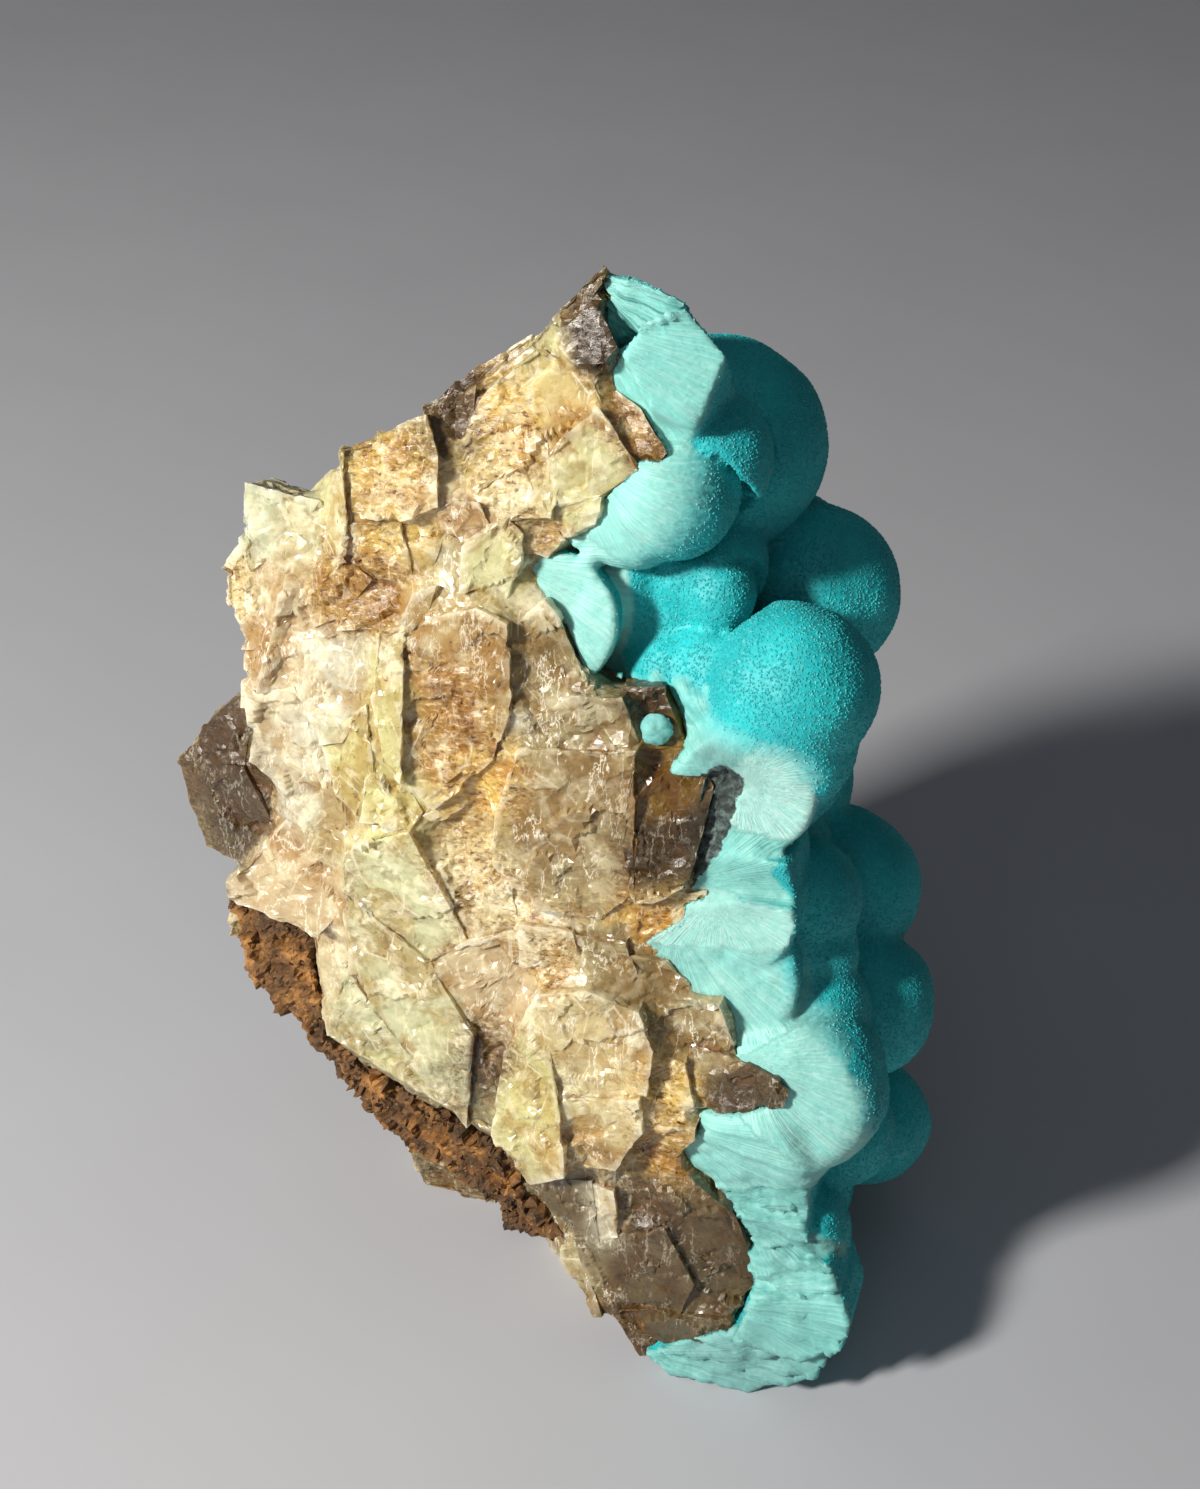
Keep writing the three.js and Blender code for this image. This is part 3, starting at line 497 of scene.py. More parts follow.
    # Small cleavage facets too low for the mesh: square cells, each leaning its own way
    normal = add_node(tree, "ShaderNodeNewGeometry").outputs["Normal"]
    for size, stretch, turn, amount in (
        (2.8, (1.0, 0.7, 1.6), (0.4, 0.2, 0.7), 0.20),
        (0.9, (1.0, 0.7, 1.8), (0.9, 0.3, 0.2), 0.19),
    ):
        where = {"Vector": place, "Scale": stretch, "Rotation": turn}
        where = add_node(tree, "ShaderNodeMapping", where)
        facets = {"Vector": where, "Scale": 1.0 / (size * MM)}
        facets = add_node(tree, "ShaderNodeTexVoronoi", facets, distance="CHEBYCHEV")
        normal = leaning(tree, normal, facets, amount)
    normal = add_node(tree, "ShaderNodeVectorMath", {0: normal}, operation="NORMALIZE")
    steps = add_node(tree, "ShaderNodeSeparateColor", {"Color": facets.outputs["Color"]})
    coarse = {0: clouds["streaks"], 1: shows["granular"]}
    coarse = add_node(tree, "ShaderNodeMath", coarse, operation="MULTIPLY")
    height = {0: steps.outputs["Green"], 1: 0.35, 2: coarse}
    height = add_node(tree, "ShaderNodeMath", height, operation="MULTIPLY_ADD")
    bump = {"Height": height, "Strength": 0.5, "Distance": 0.2 * MM, "Normal": normal}
    rough = {"Value": shows["gloss"], "To Min": 0.18, "To Max": 0.5}
    shader = add_node(tree, "ShaderNodeBsdfPrincipled", {
        "Base Color": colour,
        "Roughness": add_node(tree, "ShaderNodeMapRange", rough),
        "IOR": 1.6,
        "Subsurface Weight": 0.5,
        "Subsurface Radius": (2.2, 1.8, 1.2),
        "Subsurface Scale": 1.0 * MM,
        "Normal": add_node(tree, "ShaderNodeBump", bump),
    })
    add_node(tree, "ShaderNodeOutputMaterial", {"Surface": shader})
    return material


# A dark splinter of the block that reaches into the crust: corners across, up and out
TONGUE = [
    (-8, 43.0, 1.2), (-2.4, 43.6, 2.2), (1.6, 42.9, 2.9), (4.2, 41.6, 3.1), (3.6, 39.7, 3.1),
    (-0.8, 37.2, 2.6), (-8, 35.2, 1.0),
]


def add_hull(bm, points):
    """Adds the convex body around some points."""
    corners = [bm.verts.new(point) for point in points]
    made = bmesh.ops.convex_hull(bm, input=corners)
    spare = [item for item in made["geom_interior"] if isinstance(item, bmesh.types.BMVert)]
    bmesh.ops.delete(bm, geom=spare, context="VERTS")


def from_face(place):
    """A place across, up and out of the broken face, as world metres."""
    return Vector(FACE_FOOT + np.asarray(place, dtype=float) @ FACE_AXES) * MM


def splinter(ahead=0):
    """The dark splinter as a closed body, drawn out towards the viewer by a length."""
    bm = bmesh.new()
    front = [from_face((across, up, out + ahead)) for across, up, out in TONGUE]
    add_hull(bm, front + [from_face((across - 0.6, up - 0.8, -4)) for across, up, _ in TONGUE])
    bmesh.ops.recalc_face_normals(bm, faces=bm.faces)
    return bm


def cut_fine(bm, edge):
    """Cuts a mesh's long edges in half until none is longer than a length. Its flat faces and sharp
    edges stay as they are."""
    for _ in range(9):
        long_edges = [e for e in bm.edges if e.calc_length() > edge]
        if not long_edges:
            break
        bmesh.ops.subdivide_edges(bm, edges=long_edges, cuts=1)
        wide = [f for f in bm.faces if len(f.verts) > 3]
        bmesh.ops.triangulate(bm, faces=wide, quad_method="SHORT_EDGE")


def groove_filler():
    """The block drawn back a little under its faces, with its narrow grooves filled."""
    filler = mesh_object("groove_filler", merged_copy("calcite_matrix"))
    modified_mesh(filler, "REMESH", mode="VOXEL", voxel_size=FILLER_VOXEL)
    for swell in (GROOVE, -GROOVE - FILLER_DEPTH):
        modified_mesh(filler, "DISPLACE", strength=swell * MM, mid_level=0.0)
        modified_mesh(filler, "REMESH", mode="VOXEL", voxel_size=FILLER_VOXEL)
    return filler


calcite = mesh_object("calcite_block", merged_copy("calcite_matrix"))
combine(calcite, groove_filler(), "UNION")
combine(calcite, mesh_object("splinter", splinter()), "UNION")
fine = bmesh.new()
fine.from_mesh(calcite.data)
bmesh.ops.remove_doubles(fine, verts=fine.verts, dist=0.01 * MM)
cut_fine(fine, BLOCK_EDGE)
fine.to_mesh(calcite.data)
fine.free()
cleavage = facet_tree({"Grain": (0.3, 0.5, 0.2), "Chip": (0.6, 0.1, 0.9), "Flake": (1.1, 0.4, 0.5)})
run_tree(calcite, cleavage, {
    "Grain size": 6.0 * MM, "Grain relief": 0.6 * MM, "Grain tilt": 0.12,
    "Chip size": 2.6 * MM, "Chip relief": 0.26 * MM, "Chip tilt": 0.08,
    "Flake size": 1.3 * MM, "Flake relief": 0.06 * MM, "Flake tilt": 0.04,
    "Material": calcite_material(),
})
thin_out(calcite)
rest_on_floor(calcite.data)
tint_by_grain(calcite.data, "calcite_matrix")
mark_bends(calcite.data)
calcite.data.shade_flat()
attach(calcite, "root")
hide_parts("calcite_matrix")

# Brown rind.
# Wall rock soaked with iron, a dark earthy brown crust on the lower left of the block, rough and
# dull, with paler rust crumbs.
RIND_VOXEL = 0.4 * MM
RIND_TRIANGLES = 60000


def rind_material():
    """Limonite-stained rock: earthy and dull, dark brown with rust and tan crumbs."""
    material, tree = new_material("iron_stained_rock")
    place = add_node(tree, "ShaderNodeTexCoord").outputs["Object"]
    noises = []
    for size, detail in ((4.0, 6.0), (0.8, 4.0)):
        links = {"Vector": place, "Scale": 1 / (size * MM), "Detail": detail, "Roughness": 0.7}
        noises.append(add_node(tree, "ShaderNodeTexNoise", links))
    broad, fine = noises
    tones = add_node(tree, "ShaderNodeValToRGB", {"Fac": broad})
    tones.color_ramp.elements.new(0.52)
    for stop, (at, tone) in zip(tones.color_ramp.elements, (
        (0.36, "#332413"), (0.52, "#6a4824"), (0.66, "#a8763c"),
    )):
        stop.position = at
        stop.color = linear(tone)
    crumbs = {"Value": fine, "From Min": 0.6, "From Max": 0.7, "To Max": 0.5}
    crumbs = add_node(tree, "ShaderNodeMapRange", crumbs)
    colour = {"Factor": crumbs, "A": tones, "B": linear("#d0a468")}
    bump = {"Height": fine, "Strength": 0.6, "Distance": 0.4 * MM}
    shader = add_node(tree, "ShaderNodeBsdfPrincipled", {
        "Base Color": add_node(tree, "ShaderNodeMix", colour, data_type="RGBA"),
        "Roughness": 0.75,
        "Normal": add_node(tree, "ShaderNodeBump", bump),
    })
    add_node(tree, "ShaderNodeOutputMaterial", {"Surface": shader})
    return material


rind = mesh_object("iron_rind", merged_copy("brown_rind"))
modified_mesh(rind, "REMESH", mode="VOXEL", voxel_size=RIND_VOXEL)
run_tree(rind, cleavage, {
    "Grain size": 4.0 * MM, "Grain relief": 1.2 * MM, "Grain tilt": 0.4,
    "Chip size": 1.8 * MM, "Chip relief": 0.8 * MM, "Chip tilt": 0.5,
    "Flake size": 0.9 * MM, "Flake relief": 0.3 * MM, "Flake tilt": 0.5,
    "Material": rind_material(),
})
thin_out(rind, RIND_TRIANGLES)
rest_on_floor(rind.data)
rind.data.shade_flat()
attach(rind, "root")
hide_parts("brown_rind")

# Hemimorphite crust.
# Blue-green hemimorphite, coloured by copper, grown over the calcite in round domes with a druse
# of fine crystals. Where the hammer broke it, the viewer sees pale fibres that fan out.

# Whole domes: centre across, up and out of the broken face, and radius, in millimetres
WHOLE_DOMES = [
    # The crown's big rear lobe
    ((-14.7, 99.5, -17.6), 10.9),
    # The hollow under the crown, with low knobs
    ((-19.2, 82, -13.6), 8.6), ((-16.2, 84.6, -10.4), 6.2), ((-18.6, 84, -8.6), 5.0),
    ((-19.6, 89.6, -6.6), 3.6), ((-19.4, 87, -6.6), 3.4), ((-13.4, 90, -10), 6.5),
    ((-14.5, 80.5, -5.6), 4.4), ((-10.2, 81.6, -5.4), 4.6),
    # The two big domes at mid height and the one that carries the bright break
    ((-4.2, 84.6, -22), 9.2), ((-2.3, 81.3, -4.6), 8.3), ((-4.6, 71.5, -9), 8.3),
    # The valley under them and the bunch on the right
    ((1, 55.8, -10.5), 6.3), ((3.2, 50.8, -24), 8.9),
    ((8.4, 41.4, -17), 7.8), ((3.4, 44.6, -8), 6.6), ((3.5, 51, -9), 4.4),
    # The shaded domes above the foot and the curtain down its right side
    ((10.5, 22, -24), 7.2), ((6.2, 18.6, -6), 6.1), ((7.9, 11, -6), 6),
    # The back
    ((-15, 100, -21), 7), ((-13, 91, -25), 8), ((-9, 83, -31), 8.5),
    ((-6, 70, -31), 8.5), ((-5, 62, -25), 8), ((-8, 57, -37), 8.5), ((0, 44, -35), 8.5),
    ((5, 36, -30), 8), ((-2, 33, -39), 8.5), ((8, 27, -14), 6.5), ((5, 23, -31), 7.5),
    ((3.5, 12, -24), 7), ((-2, 14, -36), 9), ((6.5, 4, -15), 6),
]
# Lobes that keep a sharp cleft to their neighbours: two on the crown, one in the hollow
SHARP_LOBES = [
    ((-13.5, 102.4, -5.4), 6.5), ((-16, 99.4, -3.4), 6.7), ((-10.7, 88.8, -6.6), 3.8),
]
# The cleft beside each: how far it lies across and up from the lobe, and how much wider it is
CLEFT = (0.9, -0.2, 0.4)
# Broken domes: centre, radius, the way the break faces, how far it lies before the centre, and
# how softly it meets the dome's skin
BROKEN_DOMES = [
    # The pale shoulder under the crown slab
    ((-19.2, 96.4, -2.6), 5.2, (-0.2, -0.1, 0.97), 4.2, 2.4),
    ((-19, 103, -3.4), 5.2, (-0.25, 0.1, 0.97), 4.0, 1.6),
    # The half disc
    ((-25.4, 85.7, 0), 6.8, (0, 0.05, 1), 0.6, 0.2),
    # The bright break and the dent on its left
    ((-5.1, 71.9, -1.4), 7.5, (0.12, -0.12, 0.98), 2.5, 0.4),
    ((-3.2, 76.4, -4.6), 8.2, (0.1, -0.4, 0.9), 6.5, 2.0),
    ((-8.6, 75.2, -4), 4.6, (-0.1, 0.1, 0.98), 3.8, 1.0),
    # Behind the fans
    ((-7.2, 60.6, -1), 8.6, (0.1, 0.05, 1), 0.6, 0.2),
    ((-6.6, 58.4, -0.6), 9.0, (0.05, -0.1, 1), 0.5, 0.2),
    ((-6.2, 50.4, -1), 9.6, (0.1, 0.05, 1), 1.3, 1.2),
    # The front bulge and what hangs under it
    ((4.0, 38.2, -4), 9.6, (0.1, 0.02, 0.99), 6.4, 4.0),
    ((1.5, 33.5, -3.9), 8.4, (-0.12, -0.5, 0.86), 6.0, 1.6),
    ((-2.5, 31.2, -2.9), 5.6, (-0.2, -0.4, 0.9), 3.7, 0.8),
]
# Broken slabs: height out of the face, tilt across, tilt up, corners across and up
SLABS = {
    "chip": (-0.4, 0.1, 0.25, [(-23.5, 119.5), (-20.5, 119.5), (-15.5, 118), (-16, 116), (-23, 112.5)]),
    "crown": (2.9, -0.16, 0.04, [
        (-20.2, 113.6), (-18.5, 116.3), (-15.1, 118.3), (-11.1, 114.4), (-12.2, 110.3), (-13.1, 107.4),
        (-17.2, 108.6),
    ]),
    "crown_left": (0.5, 0.05, 0.1, [
        (-23.5, 110.5), (-20.3, 113.8), (-17, 109.5), (-13.4, 107.2), (-14.2, 104.6), (-18, 103.5),
        (-22, 107),
    ]),
    "fan_upper": (0.2, 0, 0.42, [
        (-8.8, 60.2), (-8.3, 62.5), (-5, 65.4), (0.6, 65.6), (1.3, 62.6), (1.8, 60.4),
    ]),
    "fan_middle": (0.6, 0.03, 0.21, [
        (-8.8, 58.6), (-3.3, 60.9), (1.9, 60.9), (2.3, 58.6), (1.7, 56), (0.6, 53.9), (-3, 51.2),
        (-8.6, 52),
    ]),
    "ledge_top": (-0.9, 0, 0.25, [(-2.5, 25), (3.5, 28.5), (7.5, 27.5), (8, 23), (4, 20)]),
    "ledge_high": (-0.2, 0, 0.15, [(-0.5, 23), (5.5, 24), (7.8, 23.6), (8.4, 21.6), (3, 20.4)]),
    "ledge_notch": (-2.0, 0, 0, [(0.5, 21.5), (9.5, 22.5), (10.5, 18.5), (2, 17.5)]),
    "ledge_thin": (0.3, 0, 0.1, [(2, 18.6), (10.6, 19.8), (11.6, 18.3), (3, 17.4)]),
    "ledge_middle": (1.1, 0, 0.1, [(2.6, 17), (11.8, 18), (12.8, 16.5), (3.5, 15.3)]),
    "ledge_low": (2.1, 0, -0.05, [
        (3.6, 15.4), (13, 16.6), (14, 14.4), (13.8, 10.6), (10, 8.4), (2.4, 8.6),
    ]),
    "foot_back": (0.3, 0, 0.1, [(-6, 3), (2.5, 9.5), (12.5, 10.5), (11.5, 4.5), (4, 1), (-4, 0)]),
    "foot_tip": (0.1, 0, 0.15, [
        (-7.4, 1.9), (2.2, 6.8), (12.3, 8.2), (11.2, 4.6), (5.2, 2.4), (2.2, -1.5), (-4, 0),
    ]),
}
SLAB_DEPTH = 9.0
# Crumbs along the calcite's edge: centre and radius
CRUMBS = [
    ((-18.4, 80.4, -1.6), 0.6), ((-14.8, 81, -1.7), 0.6), ((-12.2, 80.9, -0.9), 0.9),
    ((-11.2, 80, -0.5), 1.1), ((-10.1, 79.6, -0.4), 1.2), ((-9.2, 81.2, -0.9), 0.8),
    ((-10.9, 78.4, -0.6), 0.9), ((-8.2, 79.4, -0.9), 0.6), ((-23.6, 93.8, -0.6), 0.9),
    ((-22.2, 92.4, -0.6), 1.0), ((-10.9, 74.2, -0.4), 0.9),
]
# The dark crumbly seam beside the bright break: centre and radius of each scoop
SEAM = [
    ((-6.6, 72.4, 2.6), 2.3), ((-7, 70.2, 2.5), 2.3), ((-7.4, 68, 2.4), 2.3), ((-8.1, 65.8, 2.3), 2.3),
    ((-8.9, 63.5, 2.2), 2.2), ((-9.7, 61.4, 2), 2.0),
]
# Where the amber calcite knob stands in front of the crust: corners across and up
KNOB_GAP = [
    (-8.4, 73.1), (-8.9, 70), (-9.3, 66), (-10.6, 62.6), (-11.4, 60.8), (-17, 60.8), (-17, 73.1),
]
# The mass of the crust behind the domes: height up the face, corners across and out
CRUST_MASS = [
    (-6, [(-4, -3), (9, -3), (10, -8), (7, -26), (-6, -34)]),
    (10, [(-2, -3), (9.5, -3), (11, -8), (6, -28), (-4, -36)]),
    (22, [(-4, -3), (4, -4), (11, -13), (8, -30), (-4, -38)]),
    (36, [(-6, -3), (4, -4), (12, -15), (9, -30), (-4, -39)]),
    (50, [(-9, -3), (0, -4), (7, -17), (6, -31), (-6, -38)]),
    (62, [(-7, -4), (-2, -6), (1, -17), (-2, -31), (-8, -35)]),
    (72, [(-9, -7), (-6, -9), (-2, -17), (-4, -29), (-10, -32)]),
    (82, [(-16, -18), (-12, -18), (-5, -21), (-6, -27), (-14, -29)]),
    (98, [(-20, -8), (-17, -9), (-13.5, -18), (-12, -22), (-20, -23)]),
    (110, [(-21, -5), (-18, -6), (-16, -12), (-17, -14), (-22, -14)]),
]
CRUST_VOXEL = 0.42 * MM
# Spots where the break is painted dull and grey, as painted shade: across, up, reach and strength
PAINTED_SHADE_SPOTS = [
    (-7.4, 75.8, 1.6, 1.0), (-2.5, 61.6, 1.9, 0.6), (5, 21, 5.5, 0.65), (8, 12, 5, 0.6), (4, 4, 7, 1.0),
]
# The edge between the broken front and the druse, down the face: across and up
BREAK_LINE = [
    (-17.8, 119.5), (-15.4, 118.8), (-13.3, 117.3), (-11.1, 114.3), (-12.6, 108), (-13.9, 105.4),
    (-12.7, 103.3), (-12.5, 100.9), (-13.1, 98.4), (-14.9, 95.6), (-17.3, 93), (-19.3, 91.6),
    (-18.6, 88.9), (-18.2, 86.9),
    (-18.3, 84.3), (-18.9, 82.2), (-19.8, 79.6), (-11.6, 79.2), (-8.6, 78.2), (-1, 77.2), (0.5, 76.1),
    (1.5, 74.4), (2.2, 72.4), (1.9, 69.1), (1, 67.2), (-0.8, 64.8), (-1.1, 64.2), (0, 62.6), (1.7, 61),
    (2.1, 59.2), (1.9, 56.8), (0.8, 54.3), (1.7, 52.8), (3.1, 50.2), (3.9, 48.1), (6, 47.4), (8.9, 44.6),
    (11.1, 41.6), (11.8, 38.8), (12.6, 35.3), (11.2, 32.4), (8.6, 29.8), (8, 27.1), (7.8, 22.4),
    (10.5, 20.8),
    (12.8, 18.2), (14.2, 15.3), (14.1, 12.2), (13, 9.6), (12.9, 7.5), (11.5, 5.6), (11, -2),
]
# Where the druse fades into the broken face instead of ending at an edge: from and to, up
SOFT_EDGES = [(91, 105, 2.6), (73.5, 82, 2.4), (44, 56, 1.8), (33, 44, 1.2)]
# The fans of fibres: where each fan spreads, where its fibres start, how white and how ragged it is
FANS = [
    ((-20, 117, -2), (-26, 119, -5), 0.2, 0.8), ((-16, 111, 1), (-26, 116, -4), 0.15, 0.25),
    ((-16, 99, 1), (-25, 103, -6), 0.3, 0.15), ((-22, 87, 0), (-30, 91, -2), 0.5, 0.15),
    ((-3, 72, 1), (-5.2, 73.4, -3), 1.0, 0.08), ((-9, 76, 0), (-5.6, 73.6, -3), 0.2, 0.35),
    ((-4, 63.5, 0), (-9, 60.4, -2), 0.1, 0.15), ((-4, 58, 0), (-6, 60.2, -2), 0.7, 0.12),
    ((-3, 51, 0), (-10, 56, -2), 0.4, 0.3), ((6, 40, 2), (-2, 44, -4), 0.4, 0.12),
    ((0, 31, 1), (-9, 34, -3), 0.4, 0.3), ((4, 22, 0), (-2, 23, -5), 0.0, 0.5),
    ((8, 13, 1), (-3, 13, -5), 0.0, 0.4), ((2, 4, 0), (-9, 2, -4), 0.0, 0.6),
]
# Fibres lie nearly flat in the break, so depth counts little for their direction
FIBRE_DEPTH = 0.15
# The foot breaks in stacked ledges that overhang: top of the lot, spacing and depth
LEDGE_TOP = 25.0
LEDGE_SPACING = 2.9
LEDGE_DEPTH = 0.9


def dome_tree():
    """A tree that grows the domes. Each is a ball, a broken one is cut by a plane, and neighbours
    run together in a fillet. A slow wave keeps them from being true balls."""
    tree, entry = new_tree("domes", ("Fillet", "Break fillet", "Wave size", "Wave height"))
    place = add_node(tree, "GeometryNodeInputPosition")
    pitch = {0: 1.0, 1: entry.outputs["Wave size"]}
    pitch = add_node(tree, "ShaderNodeMath", pitch, operation="DIVIDE")
    wave = add_node(tree, "ShaderNodeTexNoise", {"Vector": place, "Scale": pitch, "Detail": 1.0})
    swing = {0: wave.outputs["Color"], 1: (0.5, 0.5, 0.5)}
    swing = add_node(tree, "ShaderNodeVectorMath", swing, operation="SUBTRACT")
    push = {0: swing, "Scale": entry.outputs["Wave height"]}
    push = add_node(tree, "ShaderNodeVectorMath", push, operation="SCALE")
    place = add_node(tree, "ShaderNodeVectorMath", {0: place, 1: push}, operation="ADD")

    def ball(centre, radius, hollow=False):
        """How far outside a ball a place is, or how far inside it if the ball is hollow."""
        reach = {0: place, 1: from_face(centre)}
        reach = add_node(tree, "ShaderNodeVectorMath", reach, operation="DISTANCE")
        both = (radius * MM, reach) if hollow else (reach, radius * MM)
        return add_node(tree, "ShaderNodeMath", {0: both[0], 1: both[1]}, operation="SUBTRACT")

    # How each body joins the ones before it, its distance and how softly it joins
    fillet, tight = entry.outputs["Fillet"], entry.outputs["Break fillet"]
    bodies = [("SMOOTH_MIN", ball(*dome), fillet) for dome in WHOLE_DOMES]
    for (across, up, out), radius in SHARP_LOBES:
        beside = (across + CLEFT[0], up + CLEFT[1], out)
        bodies.append(("MAXIMUM", ball(beside, radius + CLEFT[2], hollow=True), 0.0))
        bodies.append(("SMOOTH_MIN", ball((across, up, out), radius), tight))
    for centre, radius, facing, ahead, softness in BROKEN_DOMES:
        normal = Vector(np.asarray(facing, dtype=float) @ FACE_AXES).normalized()
        away = {0: place, 1: from_face(centre)}
        away = add_node(tree, "ShaderNodeVectorMath", away, operation="SUBTRACT")
        height = add_node(tree, "ShaderNodeVectorMath", {0: away, 1: normal}, operation="DOT_PRODUCT")
        over = add_node(tree, "ShaderNodeMath", {0: height, 1: ahead * MM}, operation="SUBTRACT")
        cut = {0: ball(centre, radius), 1: over, 2: softness * MM}
        cut = add_node(tree, "ShaderNodeMath", cut, operation="SMOOTH_MAX")
        bodies.append(("SMOOTH_MIN", cut, tight))
    bodies += [("SMOOTH_MIN", ball(*crumb), tight) for crumb in CRUMBS]
    bodies += [("MAXIMUM", ball(*scoop, hollow=True), 0.0) for scoop in SEAM]
    whole = bodies[0][1]
    for joining, body, softness in bodies[1:]:
        links = {0: whole, 1: body, 2: softness}
        whole = add_node(tree, "ShaderNodeMath", links, operation=joining)

    low, high = (Vector(corner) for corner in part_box("hemimorphite_crust"))
    low, high = low - Vector((2, 2, 2)) * MM, high + Vector((2, 2, 2)) * MM
    steps = [int((high[k] - low[k]) / (0.5 * MM)) for k in range(3)]
    volume = add_node(tree, "GeometryNodeVolumeCube", {
        "Density": add_node(tree, "ShaderNodeMath", {0: whole, 1: -1000.0}, operation="MULTIPLY"),
        "Background": -1.0,
        "Min": low,
        "Max": high,
        "Resolution X": steps[0],
        "Resolution Y": steps[1],
        "Resolution Z": steps[2],
    })
    skin = add_node(tree, "GeometryNodeVolumeToMesh", {"Volume": volume, "Threshold": 0.0})
    return end_tree(tree, entry, skin)


def crust_body():
    """Domes, slabs and the mass behind them, grown together and cut where the calcite lies."""
    body = mesh_object("hemimorphite_domes", bmesh.new())
    run_tree(body, dome_tree(), {
        "Fillet": 0.9 * MM, "Break fillet": 0.2 * MM, "Wave size": 7.0 * MM, "Wave height": 1.0 * MM,
    })
    bm = bmesh.new()
    bm.from_mesh(body.data)
    for (low, under), (high, over) in zip(CRUST_MASS, CRUST_MASS[1:]):
        ring = [from_face((across, low - 0.4, out)) for across, out in under]
        add_hull(bm, ring + [from_face((across, high, out)) for across, out in over])
    for out, tilt_across, tilt_up, corners in SLABS.values():
        middle = np.mean(corners, axis=0)
        front, back = [], []
        sink = 0.12 * max(0.0, middle[1] - 60)
        for across, up in corners:
            rise = tilt_across * (across - middle[0]) + tilt_up * (up - middle[1])
            front.append(from_face((across, up, out + rise)))
            wide = middle + (np.array([across, up]) - middle) * 1.05
            back.append(from_face((wide[0], wide[1] - sink, out - SLAB_DEPTH)))
        add_hull(bm, front + back)
    bm.to_mesh(body.data)
    bm.free()
    modified_mesh(body, "REMESH", mode="VOXEL", voxel_size=CRUST_VOXEL)
    gap = bmesh.new()
    add_hull(gap, [from_face((across, up, out)) for across, up in KNOB_GAP for out in (-5, 9)])
    bmesh.ops.recalc_face_normals(gap, faces=gap.faces)
    for cut_by in (gap, splinter(5), merged_copy("calcite_matrix"), merged_copy("brown_rind")):
        combine(body, mesh_object("cutter", cut_by), "DIFFERENCE")
    foot = bmesh.new()
    foot.from_mesh(body.data)
    bmesh.ops.remove_doubles(foot, verts=foot.verts, dist=0.01 * MM)
    cut = bmesh.ops.bisect_plane(
        foot, geom=foot.verts[:] + foot.edges[:] + foot.faces[:],
        plane_co=(0, 0, 0), plane_no=(0, 0, -1), clear_outer=True,
    )
    rim = [item for item in cut["geom_cut"] if isinstance(item, bmesh.types.BMEdge)]
    bmesh.ops.holes_fill(foot, edges=rim)
    bmesh.ops.triangulate(foot, faces=[f for f in foot.faces if len(f.verts) > 4])
    foot.to_mesh(body.data)
    foot.free()
    return body


def mark_crust(mesh):
    """Tells broken crust from druse, corner by corner, and gives each corner the way from the start
    of its fibres. The break lies left of the line and faces the viewer."""
    face = on_face(points_of(mesh))
    facing = normals_of(mesh) @ OUT
    line = np.array(BREAK_LINE)
    starts, ends = line[:-1], line[1:]
    span = ends - starts
    away = face[:, None, :2] - starts[None]
    share = np.clip((away * span).sum(axis=2) / (span ** 2).sum(axis=1), 0, 1)
    reach = np.linalg.norm(away - share[..., None] * span[None], axis=2).min(axis=1)
    edge = np.interp(face[:, 1], line[::-1, 1], line[::-1, 0])
    inside = np.where(face[:, 0] < edge, reach, -reach)
    width = np.full(len(face), 0.35)
    for low, high, soft in SOFT_EDGES:
        near = np.clip(np.minimum(face[:, 1] - low, high - face[:, 1]) / 1.5, 0, 1)
        width = np.maximum(width, soft * near)
    broken = np.clip(0.5 + inside / (2 * width), 0, 1)
    broken *= np.clip(facing / 0.3, 0, 1) * np.clip((face[:, 2] + 7) / 2, 0, 1)
    crumb, scoop = (
        np.array([np.linalg.norm(face - np.array(centre), axis=1) - radius for centre, radius in balls])
        for balls in (CRUMBS, SEAM)
    )
    broken = np.maximum(broken, np.clip(1 - crumb.min(axis=0) / 0.5, 0, 1) * 0.6)
    rock = np.clip(1.2 - scoop.min(axis=0) / 0.35, 0, 1)
    # Painted shade: how much each corner is darkened and greyed by the spots
    painted_shade = np.zeros(len(face))
    for across, up, reach, strength in PAINTED_SHADE_SPOTS:
        apart = (face[:, 0] - across) ** 2 + (face[:, 1] - up) ** 2
        painted_shade = np.maximum(painted_shade, strength * np.exp(-apart / (2 * reach ** 2)))
    store(mesh, "broken", broken)
    store(mesh, "rock", rock)
    # The painted shade, kept under the name dull
    store(mesh, "dull", painted_shade)
    store(mesh, "bare", np.clip(np.maximum(broken * 2.2, rock), 0, 1) + (face[:, 1] < 0.3))
    middles = np.array([fan[0] for fan in FANS], dtype=float)
    origins = np.array([fan[1] for fan in FANS], dtype=float)
    owner = np.linalg.norm(face[:, None] - middles[None], axis=2).argmin(axis=1)
    store(mesh, "fibre", (face - origins[owner]) * (1, 1, FIBRE_DEPTH), "FLOAT_VECTOR")
    store(mesh, "lobe", owner.astype(float))
    store(mesh, "white", np.array([fan[2] for fan in FANS])[owner])
    store(mesh, "ragged", np.array([fan[3] for fan in FANS])[owner])


